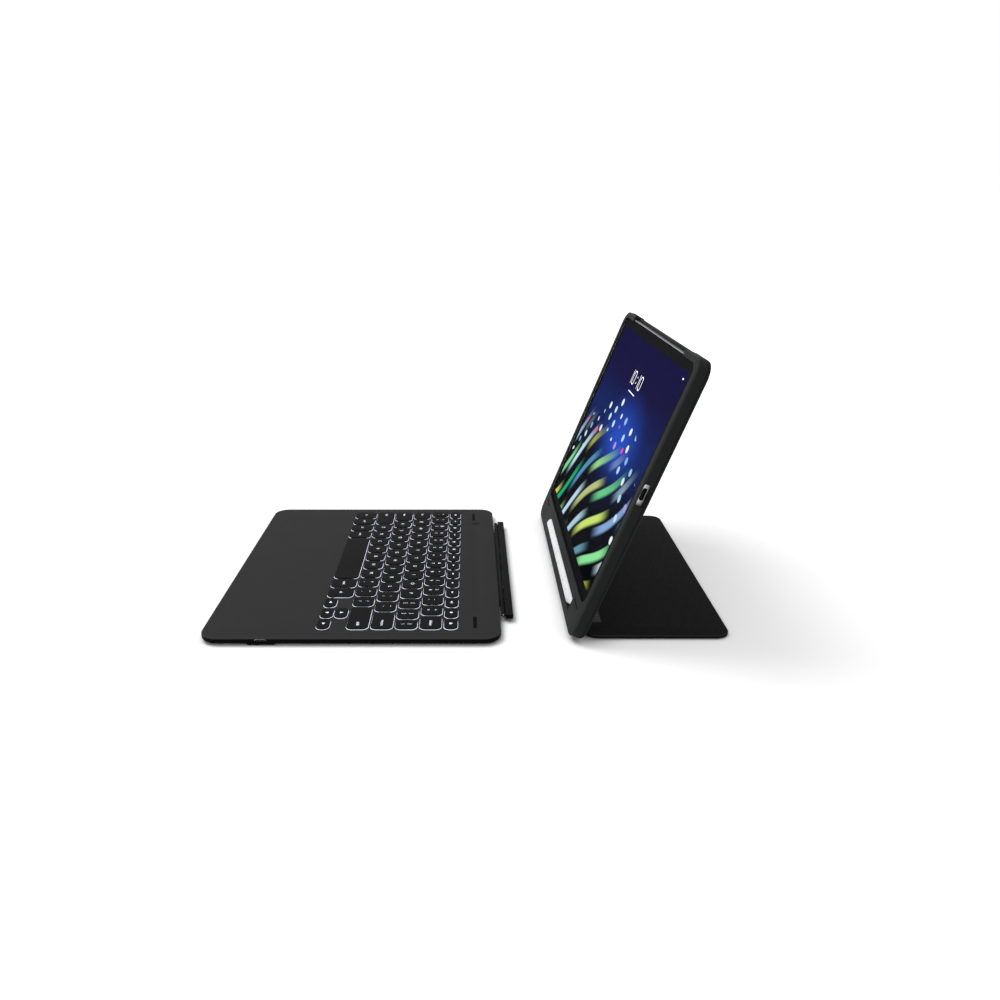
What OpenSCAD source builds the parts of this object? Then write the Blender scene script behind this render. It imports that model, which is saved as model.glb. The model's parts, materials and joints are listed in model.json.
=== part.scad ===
// Keyboard case for a tablet: a thin wireless keyboard, and a bumper case that leans on a hinged plate.
// All sizes are in millimetres. X is the user's right, +Y points away from the user, Z is up.
// The case is built lying on its back and then leaned: there x is its width, y runs up from its bottom
// edge and z comes out of its front.

/* [Tablet] */
// Width of the tablet
tablet_w = 247.6; // [225:0.1:270]
// Height of the tablet
tablet_h = 178.5; // [165:0.1:200]
// Thickness of the tablet
tablet_t = 5.9; // [5.5:0.1:6.5]
// Plan radius of the tablet's corners
tablet_r = 9; // [7:0.5:12]

/* [Overall] */
// Plan radius of the outer corners
corner_r = 12; // [10:0.5:16]
// How much deeper the keyboard is than the case is high, so that a finger can lift it open
grip = 2; // [0:0.5:4]
// Angle of the case above the table
lean = 69; // [60:1:72]
// Space between the keyboard's hinge bar and the foot of the case
dock_gap = 36; // [10:1:60]

/* [Keyboard shell] */
// Height of the rubber feet under the keyboard
foot_h = 0.8; // [0.6:0.1:1.5]
// Height of the lower shell
base_h = 4; // [3.8:0.1:5]
// Thickness of the top shell
deck_t = 1.2; // [1:0.1:1.6]
// Radius of the top shell's upper edge
deck_edge_r = 0.9; // [0.4:0.1:0.9]
// Radius of the lower shell's bottom edge
base_edge_r = 2.6; // [1:0.1:2.8]
// Thickness of the lower shell's floor
floor_t = 0.8; // [0.6:0.1:0.9]
// Width of the lower shell's rim
rim_w = 3; // [2.8:0.1:4]

/* [Keys] */
// Distance from the keyboard's side edge to the field of the keys
keys_side = 10.7; // [9:0.1:14]
// Space between two keys
key_gap = 1.6; // [1.4:0.1:2]
// Depth of a letter key
key_d = 15.3; // [14:0.1:15.4]
// Depth of a key in the function row
top_key_d = 9.6; // [9:0.1:10]
// Depth of a key in the row of the space bar
low_key_d = 19.2; // [18:0.1:19.4]
// Plan radius of a key's corners
key_r = 4.2; // [1.5:0.1:4.4]
// Radius of a key's upper edge
key_edge_r = 0.4; // [0.2:0.1:0.6]
// Height of a key cap
cap_h = 2.1; // [1.9:0.1:2.3]
// Height of a key above the top shell
key_rise = 1; // [0.7:0.1:1.2]
// Travel of a key
key_travel = 1.2; // [0.8:0.1:1.3]
// Space between a key and its opening
key_clear = 0.3; // [0.25:0.05:0.35]
// Distance from the keyboard's back edge to the function row
keys_back = 30; // [28:0.5:32]

/* [Keyboard details] */
// How far the hollow for the stylus reaches past it at each end
hollow_extra = 7; // [3:0.5:9]
// Depth from front to back of that hollow
hollow_d = 10; // [8:0.5:11]
// How far that hollow sinks into the top shell
hollow_sink = 0.6; // [0.3:0.05:0.7]
// Length of a rubber bumper on the top shell
bumper_w = 17; // [12:0.5:20]
// Width of a rubber bumper
bumper_d = 2.5; // [2:0.1:3]
// Distance from the keyboard's side edge to the middle of a bumper
bumper_side = 22.5; // [19:0.5:25]
// Place of the charging port, as a share of the palm rest's depth
port_share = 0.55; // [0.5:0.01:0.6]
// Length of the housing round the charging port
port_house_w = 20; // [16:0.5:24]

/* [Fold hinge] */
// Distance from the keyboard's side edge to the end of the bar that docks with the case
bar_side = 34.5; // [28:0.5:40]
// Depth of the bar
bar_d = 5.4; // [5:0.1:7]
// Height of the bar
bar_h = 3.2; // [3:0.1:3.6]
// Radius of the fold hinge's barrel
fold_r = 1.4; // [1.3:0.1:1.5]
// Distance from the end of the bar to the end of the hinge's barrel
tongue_side = 2.5; // [2:0.5:10]
// Length of each end knuckle
end_knuckle = 22; // [15:1:30]
// Radius of the fold hinge's pins
fold_pin_r = 0.6; // [0.5:0.05:0.7]

/* [Case] */
// Thickness of the case's wall beside the tablet
side_wall = 5; // [4.8:0.1:6]
// Distance from the case's top edge to the tablet
top_wall = 3; // [2.8:0.1:6]
// Thickness of the lip over the tablet's edge
lip_t = 1; // [0.8:0.1:1.6]
// Thickness of the back shell's floor
back_t = 1.6; // [1.4:0.1:1.8]
// Height of the back shell's rim
back_rim = 2.8; // [2.6:0.1:3]
// Thickness of the soft lining
lining_t = 0.9; // [0.5:0.1:1]
// Radius of the case's front edge
front_edge_r = 1.4; // [0.5:0.1:2]
// Radius of the case's back edge
back_edge_r = 2; // [0.8:0.1:2.4]
// How far the lip overlaps the tablet's edge
lip_w = 1.6; // [0.8:0.1:2.5]
// Distance from the case's side edge to the opening along its top wall
notch_side = 41; // [40:0.5:60]
// How far the middle of the top wall sits below the corners
top_sink = 0.8; // [0.3:0.1:1]
// Height of the charging cut-out, along the case's side
port_cut = 16; // [12:0.5:24]
// Side of the camera window
camera_cut = 24; // [20:0.5:28]

/* [Stylus] */
// Length of the stylus
stylus_len = 166; // [140:1:170]
// Diameter of the stylus
stylus_dia = 8.9; // [7:0.1:9]
// Length of the stylus's tip
tip_len = 11; // [8:0.5:16]
// Width of the wall between the case's bottom edge and the stylus's trough
foot_wall = 6.45; // [6:0.05:8]
// Shift of the stylus's middle to the right
stylus_x = 11; // [-10:1:14]

/* [Stand] */
// Distance from the case's side edge to the stand plate's
plate_side = 9; // [6:0.5:20]
// Depth of the stand plate
plate_d = 101; // [80:1:102]
// Thickness of the stand plate
plate_t = 2.5; // [2.2:0.1:3]
// Plan radius of the stand plate's corners
plate_r = 10; // [5:0.5:16]
// Height of the pads under the stand plate
pad_h = 0.5; // [0.3:0.1:1]
// Distance between the middles of the two stand hinges
hinge_span = 150; // [120:1:170]
// Length of each stand hinge
hinge_w = 50; // [36:1:60]
// Radius of a stand hinge's barrel
barrel_r = 2.2; // [2:0.05:2.4]
// Radius of a stand hinge's pin
stand_pin_r = 0.9; // [0.7:0.05:1.2]
// Thickness of a hinge leaf
leaf_t = 0.8; // [0.6:0.05:0.9]
// How far a hinge leaf reaches from its barrel
leaf_d = 16; // [12:0.5:20]

/* [Hidden] */
$fn = 48;

// Clearances
slip = 0.3;     // between pieces that move past each other
fit = 0.2;      // between the tablet and its room
running = 0.05; // radial, between a pin and the bore that turns on it
eps = 0.01;     // overlap of cutting solids
past = 1;       // how far a cut runs on past a face

// Stylus, slits and tablet, upwards from the case's bottom edge
stylus_r = stylus_dia / 2;
stylus_s = foot_wall + slip + stylus_r;
slit_d = 1.6;
slit_sink = 0.8;
slit_wall = 1.25;
slit_s = stylus_s + stylus_r + slip + slit_wall + slit_d / 2;
slit_above = 3.7;
tablet_s = slit_s + slit_d / 2 + slit_above;
tablet_mid = tablet_s + tablet_h / 2;

// Outer size of the case, and of the keyboard that covers it
body_w = tablet_w + 2 * (side_wall + fit);
case_d = tablet_s + tablet_h + top_wall;
body_d = case_d + grip;

// Keyboard heights
base_z = foot_h;
deck_z = base_z + base_h;
deck_top = deck_z + deck_t;
floor_z = base_z + floor_t;
cap_z = deck_top + key_rise - cap_h;

// Layers under the keys
guide_t = 0.5;
sheet_t = 0.3;
guide_z = floor_z;
sheet_z = guide_z + guide_t;
dome_h = cap_z - key_travel - 0.1 - sheet_z - sheet_t;
dome_r = 2.4;
stem_r = 2.2;
cap_wall = 0.8;
cap_roof = 1;

// Keys: widths in key pitches, row by row from the back
rows = [
  [for (i = [1 : 14]) 1],
  concat([0.75], [for (i = [1 : 12]) 1], [1.25]),
  concat([1.1], [for (i = [1 : 12]) 1], [0.9]),
  concat([1.4], [for (i = [1 : 11]) 1], [1.6]),
  concat([1.9], [for (i = [1 : 10]) 1], [2.1]),
  [1, 0.95, 0.95, 1, 5.1, 1, 1]
];
row_d = [top_key_d, key_d, key_d, key_d, key_d, low_key_d];
field_units = 14;
field_w = body_w - 2 * keys_side;
key_pitch = field_w / field_units;
arrow_gap = 1.2;
arrow_d = (low_key_d - arrow_gap) / 2;
arrow_units = 11;
small_key_r = min(key_r, arrow_d / 2 - 0.3);
small_key_d = 12;

// Hinge bar and its fold axis
fold_gap = 0.9;
bar_gap = 0.4;
bar_w = body_w - 2 * bar_side;
tongue_w = bar_w - 2 * tongue_side;
fold_y = body_d + fold_gap + fold_r;
fold_z = deck_top - fold_r;
bar_y = fold_y + fold_r + bar_gap;
bar_back = bar_y + bar_d;
bar_mid_z = deck_top - bar_h / 2;
bar_edge_r = 0.8;
mid_knuckle = tongue_w - 2 * (end_knuckle + slip);
fold_leaf_t = 0.8;
fold_leaf_d = 6;
fold_web_t = 1;
fold_pin_bite = 7.5;

// Magnets in the bar and in the foot of the case
magnet_w = 20;
magnet_d = 2;
magnet_h = 1.4;
case_magnet_h = 4;
magnet_wall = 1.6;

// Tablet and case levels
lining_z = back_t;
tablet_z = lining_z + lining_t;
glass_t = 0.5;
display_t = 0.3;
glass_top = tablet_z + tablet_t;
case_t = glass_top + lip_t;
notch_w = body_w - 2 * notch_side;
notch_past = 1.5;
notch_n = tablet_z + 2.2;

// Stand hinge axis
plate_z = pad_h;
plate_top = plate_z + plate_t;
pivot_z = plate_top + slip / 2;
heel_lift = 0.2;
pivot_s = (pivot_z - heel_lift) / sin(lean);
pivot_n = -slip / 2;
pivot_y = bar_back + dock_gap + pivot_s * cos(lean) + (case_t - pivot_n) * sin(lean);
barrel_gap = 0.4;
heel_n = barrel_r + barrel_gap + pivot_n - 0.6;
plate_w = body_w - 2 * plate_side;
plate_offset = 1.5;
plate_near = pivot_y + plate_offset;
overall_d = plate_near + plate_d;

// The stylus's trough
trough_floor = 0.3;
stylus_n = back_t + trough_floor + slip + stylus_r;

function sum(v, n) = n <= 0 ? 0 : v[n - 1] + sum(v, n - 1);
function row_back(r) = body_d - keys_back - sum(row_d, r) - r * key_gap;
palm_d = row_back(5) - low_key_d;
function key_left(r, i) = -field_w / 2 + key_pitch * sum(rows[r], i);

// A key's rectangle: left, right, front and back
function key_box(r, i) = [
  key_left(r, i) + key_gap / 2, key_left(r, i + 1) - key_gap / 2,
  row_back(r) - row_d[r], row_back(r)
];
function arrow_box(column, level) = [
  -field_w / 2 + key_pitch * (arrow_units + column) + key_gap / 2,
  -field_w / 2 + key_pitch * (arrow_units + column + 1) - key_gap / 2,
  row_back(5) - low_key_d + level * (arrow_d + arrow_gap),
  row_back(5) - low_key_d + level * (arrow_d + arrow_gap) + arrow_d
];
function key_boxes(r, first, last) = [for (i = [first : last]) key_box(r, i)];
function corner_of(b) = b[3] - b[2] < small_key_d ? small_key_r : key_r;
arrow_boxes = [arrow_box(0, 0), arrow_box(1, 1), arrow_box(1, 0), arrow_box(2, 0)];
all_boxes = concat(
  [for (r = [0 : 5]) for (i = [0 : len(rows[r]) - 1]) key_box(r, i)],
  arrow_boxes
);

// ---- Shared shapes ----

// Rectangle with round corners, centred
module round_rect(w, d, r) {
  if (w > 2 * r + eps) square([w - 2 * r, d], center = true);
  if (d > 2 * r + eps) square([w, d - 2 * r], center = true);
  for (x = [-1, 1], y = [-1, 1]) {
    translate([x * (w / 2 - r), y * (d / 2 - r)]) circle(r);
  }
}

// Outer half of a slab's section: reach is how far it comes out from the turning axis
module edge_section(reach, h, top_r, low_r) {
  translate([0, low_r]) square([reach, h - top_r - low_r]);
  if (top_r > 0) {
    square([reach - top_r, h]);
    translate([reach - top_r, h - top_r]) intersection() {
      circle(top_r);
      square(top_r);
    }
  }
  if (low_r > 0) {
    square([reach - low_r, h - top_r]);
    translate([reach - low_r, low_r]) intersection() {
      circle(low_r);
      translate([0, -low_r]) square(low_r);
    }
  }
}

// Straight run of that section, mirrored about its middle, along Y
module slab_run(across, len, h, top_r, low_r) {
  translate([0, len / 2, 0]) rotate([90, 0, 0]) linear_extrude(len) {
    edge_section(across / 2, h, top_r, low_r);
    mirror([1, 0]) edge_section(across / 2, h, top_r, low_r);
  }
}

// Slab with round corners in plan and rolled top and bottom edges, centred on x and y
module soft_slab(w, d, h, r, top_r, low_r) {
  for (x = [0, 1], y = [0, 1]) mirror([x, 0, 0]) mirror([0, y, 0]) {
    translate([w / 2 - r, d / 2 - r, 0]) rotate_extrude(angle = 90) edge_section(r, h, top_r, low_r);
  }
  slab_run(w, d - 2 * r, h, top_r, low_r);
  rotate([0, 0, 90]) slab_run(d, w - 2 * r, h, top_r, low_r);
}

// Upright prism on a rounded rectangle, given by its four sides
module block(x0, x1, y0, y1, z0, z1, r) {
  translate([(x0 + x1) / 2, (y0 + y1) / 2, z0])
    linear_extrude(z1 - z0) round_rect(x1 - x0, y1 - y0, r);
}

// Plain box between two corners
module box(from, to) {
  translate(from) cube(to - from);
}

// Cylinder along X, centred on x
module rod(x, y, z, len, r) {
  translate([x, y, z]) rotate([0, 90, 0]) cylinder(r = r, h = len, center = true);
}

// Moves children from the keyboard's front edge to the part's own frame
module on_table() {
  translate([0, -overall_d / 2, 0]) children();
}

// Moves children from the case, lying on its back, to its place on the stand
module leaned() {
  on_table()
    translate([0, pivot_y, pivot_z]) rotate([lean, 0, 0]) translate([0, -pivot_s, -pivot_n]) children();
}

// ---- Keyboard ----

// Charging port
port_x = body_w / 2;
port_y = palm_d * port_share;
port_r = 1.5;
port_half = 4.45;
port_z = (floor_z + deck_z) / 2;
port_len = 7;
port_sink = 0.3;
port_wall = 0.25;
port_back = 0.6;
port_tongue_t = 0.7;
port_tongue_half = 3.3;
port_house_d = 8;
port_house_r = 1.8;

// Sheets under the keys
sheet_past = 1;
sheet_x = field_w / 2 + sheet_past;
sheet_front = palm_d - 2 * sheet_past;
sheet_back = row_back(0) + sheet_past;
sheet_r = 2;

// Circuit board behind the port
board_t = 0.8;
board_w = 25.5;
board_half = 12;
board_side = 8.5;
board_x1 = port_x - board_side;
board_x0 = board_x1 - board_w;
board_gap = 0.1;
chip_side = 3;
chip_w = 7;
chip_h = 0.8;
small_chip_w = 5;
small_chip_h = 0.6;

// Battery cells
cell_gap = 6;
cell_side = 44;
cell_w = body_w / 2 - cell_gap / 2 - cell_side;
cell_front = 20;
cell_behind = 16;
cell_back = palm_d - cell_behind;
cell_r = 1.5;
cell_above = 0.4;

// Screws
screw_side = 7.5;
screw_front = 8;
screw_back = 22;
screw_mid_back = 7;
screw_mid_x = 40;
screw_places = [
  for (x = [-1, 1], y = [screw_front, (port_y + board_half + sheet_front) / 2, body_d - screw_back])
    [x * (body_w / 2 - screw_side), y],
  [-screw_mid_x, screw_front], [screw_mid_x, screw_front], [0, body_d - screw_mid_back]
];
screw_r = 0.7;
screw_head_r = 1.5;
screw_head_h = 0.5;
screw_bite = 0.7;
drive_r = 0.6;
drive_h = 0.35;
boss_r = 2.4;

// Feet of the keyboard
foot_half_w = 12;
foot_half_d = 4;
foot_side = 32;
foot_front = 14;
foot_back = 26;
foot_r = 3.9;
foot_sink = 0.2;

// Hollow and bumpers on the top shell
hollow_w = stylus_len + 2 * hollow_extra;
hollow_back = 16;
hollow_y = body_d - hollow_back;
hollow_cut_r = (pow(hollow_d / 2, 2) + pow(hollow_sink, 2)) / (2 * hollow_sink);
bumper_x = body_w / 2 - bumper_side;
bumper_back = 18;
bumper_y = body_d - bumper_back;
bumper_sink = 0.6;
bumper_rise = 0.3;

// Button covers, and the buttons below them
cover_n = (back_rim + case_t) / 2;
cover_w = 9;
cover_h = 3;
cover_rise = 0.5;
flange = 0.7;
flange_t = 0.6;
cover_in = 0.5;
cover_web = 1;
volume_first = 16.5;
volume_pitch = cover_w + 2 * (flange + slip) + cover_web;
volume_x = [-tablet_w / 2 + volume_first, -tablet_w / 2 + volume_first + volume_pitch];
power_first = 20;
power_s = tablet_s + tablet_h - power_first;
button_w = 8;
button_h = 1.6;
button_rise = 0.2;
button_root = 0.5;

// Camera of the tablet
camera_in = 17;
camera_x = -tablet_w / 2 + camera_in;
camera_s = tablet_s + tablet_h - camera_in;
camera_r = 7;
camera_rise = 1;
camera_sink = 0.6;
lens_r = 4.4;
lens_sink = 0.4;
window_r = 5;

// Stand hinges
knuckle_w = hinge_w / 4;
mid_w = hinge_w - 2 * knuckle_w - 2 * slip;
leaf_screw_r = 0.8;
leaf_screw_head = 1.5;
leaf_screw_head_h = 0.6;
leaf_screw_bite = 0.4;
leaf_screw_x = hinge_w / 3;
leaf_screw_y = leaf_d * 0.6;
leaf_web = 1;

// Pads of the stand plate
pad_half_w = 15;
pad_half_d = 4;
pad_side = 30;
pad_in = 12;
pad_sink = 0.2;
plate_top_r = 0.9;
plate_low_r = 0.7;

// The tablet's own pieces
screen_in = 0.8;
tablet_port_n = (tablet_z + glass_top) / 2 - 0.3;
tablet_port_sink = 0.1;

// Profile of the charging port's mouth, in y and z
module port_profile(grow) {
  round_rect(2 * (port_half + grow), 2 * (port_r + grow), port_r + grow);
}

module along_x(x0, x1) {
  translate([x0, 0, 0]) rotate([90, 0, 90]) linear_extrude(x1 - x0) children();
}

module keyboard_base() {
  color("#262728") on_table() difference() {
    union() {
      translate([0, body_d / 2, base_z]) difference() {
        soft_slab(body_w, body_d, base_h, corner_r, 0, base_edge_r);
        translate([0, 0, floor_t])
          linear_extrude(base_h) round_rect(body_w - 2 * rim_w, body_d - 2 * rim_w, corner_r - rim_w);
      }
      // housing of the charging port, upright where the rest of the edge tucks in
      translate([0, port_y, base_z + base_h / 2])
        along_x(port_x - port_house_d, port_x) round_rect(port_house_w, base_h, port_house_r);
      for (p = screw_places) {
        translate([p[0], p[1], floor_z - eps]) cylinder(r = boss_r, h = deck_z - floor_z + eps);
      }
    }
    translate([0, port_y, port_z]) along_x(port_x - port_house_d - past, port_x + past) port_profile(0);
    for (p = screw_places) {
      translate([p[0], p[1], base_z - eps]) {
        cylinder(r = screw_r, h = base_h + past);
        cylinder(r = screw_head_r, h = screw_head_h + eps);
      }
    }
    // slot for the leaf of the fold hinge
    box([-mid_knuckle / 2, body_d - fold_leaf_d, deck_z - fold_leaf_t],
      [mid_knuckle / 2, body_d + past, deck_z + past]);
    feet_outlines(base_z - eps, base_z + foot_sink);
  }
}

module keyboard_deck() {
  color("#3a3a3b") on_table() difference() {
    translate([0, body_d / 2, deck_z]) soft_slab(body_w, body_d, deck_t, corner_r, deck_edge_r, 0);
    for (b = all_boxes) {
      block(b[0] - key_clear, b[1] + key_clear, b[2] - key_clear, b[3] + key_clear,
        deck_z - past, deck_top + past, corner_of(b) + key_clear);
    }
    // hollow over the stylus
    rod(0, hollow_y, deck_top - hollow_sink + hollow_cut_r, hollow_w, hollow_cut_r);
    bumper_outlines(bumper_y, bumper_d, deck_top - bumper_sink, deck_top + past);
    for (p = screw_places) {
      translate([p[0], p[1], deck_z - eps]) cylinder(r = screw_r, h = screw_bite + eps);
    }
  }
}

// The two bumpers, or the slits that they meet, as prisms between two heights
module bumper_outlines(y, d, z0, z1) {
  for (x = [-bumper_x, bumper_x]) {
    block(x - bumper_w / 2, x + bumper_w / 2, y - d / 2, y + d / 2, z0, z1, d / 2);
  }
}

// The four corner feet, as prisms between two heights
module feet_outlines(z0, z1) {
  for (x = [foot_side - body_w / 2, body_w / 2 - foot_side], y = [foot_front, body_d - foot_back]) {
    block(x - foot_half_w, x + foot_half_w, y - foot_half_d, y + foot_half_d, z0, z1, foot_r);
  }
}

module keyboard_feet() {
  color("#1a1a1a") on_table() feet_outlines(0, base_z + foot_sink);
}

module deck_bumpers() {
  color("#141414") on_table()
    bumper_outlines(bumper_y, bumper_d, deck_top - bumper_sink, deck_top + bumper_rise);
}

module base_screws() {
  color("#4a4a4c") on_table() for (p = screw_places) {
    translate([p[0], p[1], base_z]) difference() {
      union() {
        cylinder(r = screw_head_r, h = screw_head_h);
        cylinder(r = screw_r, h = base_h + screw_bite);
      }
      // six-sided drive
      translate([0, 0, -eps]) cylinder(r = drive_r, h = drive_h, $fn = 6);
    }
  }
}

module light_guide() {
  color("#e6e8f0") on_table()
    block(-sheet_x, sheet_x, sheet_front, sheet_back, guide_z, guide_z + guide_t, sheet_r);
}

module dome_sheet() {
  color("#d9dadd") on_table() {
    block(-sheet_x, sheet_x, sheet_front, sheet_back, sheet_z, sheet_z + sheet_t, sheet_r);
    for (b = all_boxes) {
      translate([(b[0] + b[1]) / 2, (b[2] + b[3]) / 2, sheet_z])
        cylinder(r = dome_r, h = sheet_t + dome_h);
    }
  }
}

module circuit_board() {
  color("#1f5a3c") on_table() difference() {
    union() {
      block(board_x0, board_x1, port_y - board_half, port_y + board_half, floor_z, floor_z + board_t, 1);
      // a large and a small chip, side by side
      translate([board_x0 + chip_side, port_y - chip_w - chip_side, floor_z])
        cube([chip_w, chip_w, board_t + chip_h]);
      translate([board_x0 + chip_side, port_y + chip_side, floor_z])
        cube([small_chip_w, small_chip_w, board_t + small_chip_h]);
    }
  }
}

module keyboard_battery() {
  color("#c9cbd0") on_table() for (x = [-cell_gap / 2 - cell_w, cell_gap / 2]) {
    block(x, x + cell_w, cell_front, cell_back, floor_z, deck_z - cell_above, cell_r);
  }
}

// A charging port's sleeve and tongue, with its mouth at x = 0
module port_sleeve(len) {
  difference() {
    along_x(-len, 0) port_profile(0);
    along_x(port_back - len, past) port_profile(-port_wall);
  }
  along_x(port_back / 2 - len, -port_back) square([2 * port_tongue_half, port_tongue_t], center = true);
}

module charging_port() {
  color("#b9bbc0") on_table()
    translate([port_x - port_sink, port_y, port_z]) port_sleeve(port_len - port_sink);
}

// ---- Fold hinge ----

module fold_knuckle() {
  color("#2b2b2c") on_table() difference() {
    union() {
      rod(0, fold_y, fold_z, mid_knuckle, fold_r);
      box([-mid_knuckle / 2, body_d - fold_leaf_d, deck_z - fold_leaf_t], [mid_knuckle / 2, fold_y, deck_z]);
    }
    rod(0, fold_y, fold_z, mid_knuckle + past, fold_pin_r + running);
  }
}

module hinge_bar() {
  color("#242425") on_table() difference() {
    union() {
      translate([0, (bar_y + bar_back) / 2, bar_mid_z])
        along_x(-bar_w / 2, bar_w / 2) round_rect(bar_d, bar_h, bar_edge_r);
      for (x = [-1, 1]) translate([x * (tongue_w - end_knuckle) / 2, 0, 0]) {
        rod(0, fold_y, fold_z, end_knuckle, fold_r);
        box([-end_knuckle / 2, fold_y, fold_z - fold_r],
          [end_knuckle / 2, bar_y + bar_edge_r, fold_z - fold_r + fold_web_t]);
      }
    }
    rod(0, fold_y, fold_z, tongue_w + past, fold_pin_r);
    magnet_rooms() bar_magnet(past);
  }
}

// A magnet of the bar, which a cut lets run on past its face
module bar_magnet(further) {
  box([-magnet_w / 2, bar_back - magnet_d, bar_mid_z - magnet_h / 2],
    [magnet_w / 2, bar_back + further, bar_mid_z + magnet_h / 2]);
}

// Repeats a magnet's solid along the bar or the case
module magnet_rooms() {
  for (x = [-3, -1, 1, 3]) translate([x * bar_w / 9, 0, 0]) children();
}

module fold_hinge_pins() {
  color("#a6a8ad") on_table() for (x = [-1, 1]) {
    rod(x * (tongue_w - end_knuckle - fold_pin_bite) / 2, fold_y, fold_z,
      end_knuckle + fold_pin_bite, fold_pin_r);
  }
}

module bar_magnets() {
  color("#8d8f94") on_table() magnet_rooms() bar_magnet(0);
}

// ---- Case ----

// The room for the tablet, between two heights
module tablet_room(z0, z1, shrink) {
  block(-tablet_w / 2 - fit + shrink, tablet_w / 2 + fit - shrink, tablet_s - fit + shrink,
    tablet_s + tablet_h + fit - shrink, z0, z1, tablet_r);
}

// The trough for the stylus, open to the front
module stylus_trough() {
  len = stylus_len + 2 * slip;
  r = stylus_r + slip;
  translate([0, stylus_s, stylus_n]) along_x(stylus_x - len / 2, stylus_x + len / 2) {
    circle(r);
    translate([-r, 0]) square([2 * r, case_t]);
  }
}

// The middle of the top wall, a little lower than the corners
module top_sink_cut() {
  box([-notch_w / 2 - notch_past, case_d - top_sink, -past],
    [notch_w / 2 + notch_past, case_d + past, case_t + past]);
}

// A button cover's solid, pointing along +z from the inside of a wall of thickness t
module cover_solid(t) {
  translate([0, 0, cover_in + flange_t / 2])
    linear_extrude(t - cover_in + cover_rise - flange_t / 2) round_rect(cover_w, cover_h, cover_h / 2);
  translate([0, 0, cover_in])
    linear_extrude(flange_t) round_rect(cover_w + 2 * flange, cover_h + 2 * flange, cover_h / 2 + flange);
}

// The room that a button cover slides in
module cover_room(t) {
  translate([0, 0, -past]) {
    linear_extrude(t + 3 * past) round_rect(cover_w + 2 * slip, cover_h + 2 * slip, cover_h / 2 + slip);
    linear_extrude(past + cover_in + flange_t + slip)
      round_rect(cover_w + 2 * (flange + slip), cover_h + 2 * (flange + slip), cover_h / 2 + flange + slip);
  }
}

// Places a child on the top wall, or on the left wall
module on_top_wall(x) {
  translate([x, tablet_s + tablet_h + fit, cover_n]) rotate([-90, 0, 0]) children();
}
module on_left_wall(s) {
  translate([-tablet_w / 2 - fit, s, cover_n]) rotate([0, -90, 0]) rotate([0, 0, 90]) children();
}

module case_frame() {
  color("#323433") leaned() difference() {
    translate([0, case_d / 2, back_rim])
      soft_slab(body_w, case_d, case_t - back_rim, corner_r, front_edge_r, 0);
    tablet_room(0, glass_top, 0);
    tablet_room(glass_top - eps, case_t + past, lip_w + fit);
    stylus_trough();
    top_sink_cut();
    // opening in the top wall along the tablet's edge
    block(-notch_w / 2, notch_w / 2, case_d - top_wall - 2 * past, case_d + 4 * past,
      notch_n, case_t + past, 1);
    // charging cut-out in the right wall
    translate([0, tablet_mid, (tablet_z + 0.5 + glass_top) / 2])
      along_x(tablet_w / 2 - past, body_w / 2 + past) round_rect(port_cut, tablet_t - 0.6, 1);
    for (x = volume_x) on_top_wall(x) cover_room(top_wall);
    on_left_wall(power_s) cover_room(side_wall);
    bumper_outlines(slit_s, slit_d, case_t - slit_sink, case_t + past);
    magnet_rooms() case_magnet();
  }
}

// One of the magnets that hold the bar
module case_magnet() {
  box([-magnet_w / 2, magnet_wall, back_rim],
    [magnet_w / 2, magnet_wall + magnet_d, back_rim + case_magnet_h]);
}

module case_magnets() {
  color("#8d8f94") leaned() magnet_rooms() case_magnet();
}

// The camera window, between two heights
module camera_window(z0, z1) {
  block(camera_x - camera_cut / 2, camera_x + camera_cut / 2, camera_s - camera_cut / 2,
    camera_s + camera_cut / 2, z0, z1, window_r);
}

module case_back_shell() {
  color("#2c2e2d") leaned() difference() {
    translate([0, case_d / 2, 0]) soft_slab(body_w, case_d, back_rim, corner_r, 0, back_edge_r);
    tablet_room(back_t, back_rim + past, 0);
    stylus_trough();
    top_sink_cut();
    camera_window(-past, back_t + past);
    for (x = [-1, 1]) translate([x * hinge_span / 2, 0, 0]) {
      rod(0, pivot_s, pivot_n, hinge_w + 2 * slip, barrel_r + barrel_gap);
      box([-hinge_w / 2, pivot_s - past / 2, -past], [hinge_w / 2, pivot_s + leaf_d, leaf_t]);
      leaf_screw_places() translate([0, pivot_s, 0]) cylinder(r = leaf_screw_r, h = leaf_t + leaf_screw_bite);
      // the heel is cut away below the hinge so that the case can lie down
      box([-hinge_w / 2 - slip, -past, -past], [hinge_w / 2 + slip, pivot_s, heel_n]);
    }
  }
}

module case_lining() {
  color("#5a5c5e") leaned() difference() {
    tablet_room(lining_z, tablet_z, 0);
    camera_window(0, tablet_z + past);
  }
}

// ---- Stand hinge ----

// Repeats a screw's solid on a leaf that starts at y = 0
module leaf_screw_places() {
  for (x = [-leaf_screw_x, 0, leaf_screw_x]) translate([x, leaf_screw_y, 0]) children();
}

// A countersunk screw, with its head at z = 0
module leaf_screw(len) {
  cylinder(r = leaf_screw_r, h = len);
  cylinder(r1 = leaf_screw_head, r2 = leaf_screw_r, h = leaf_screw_head_h);
}

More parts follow.
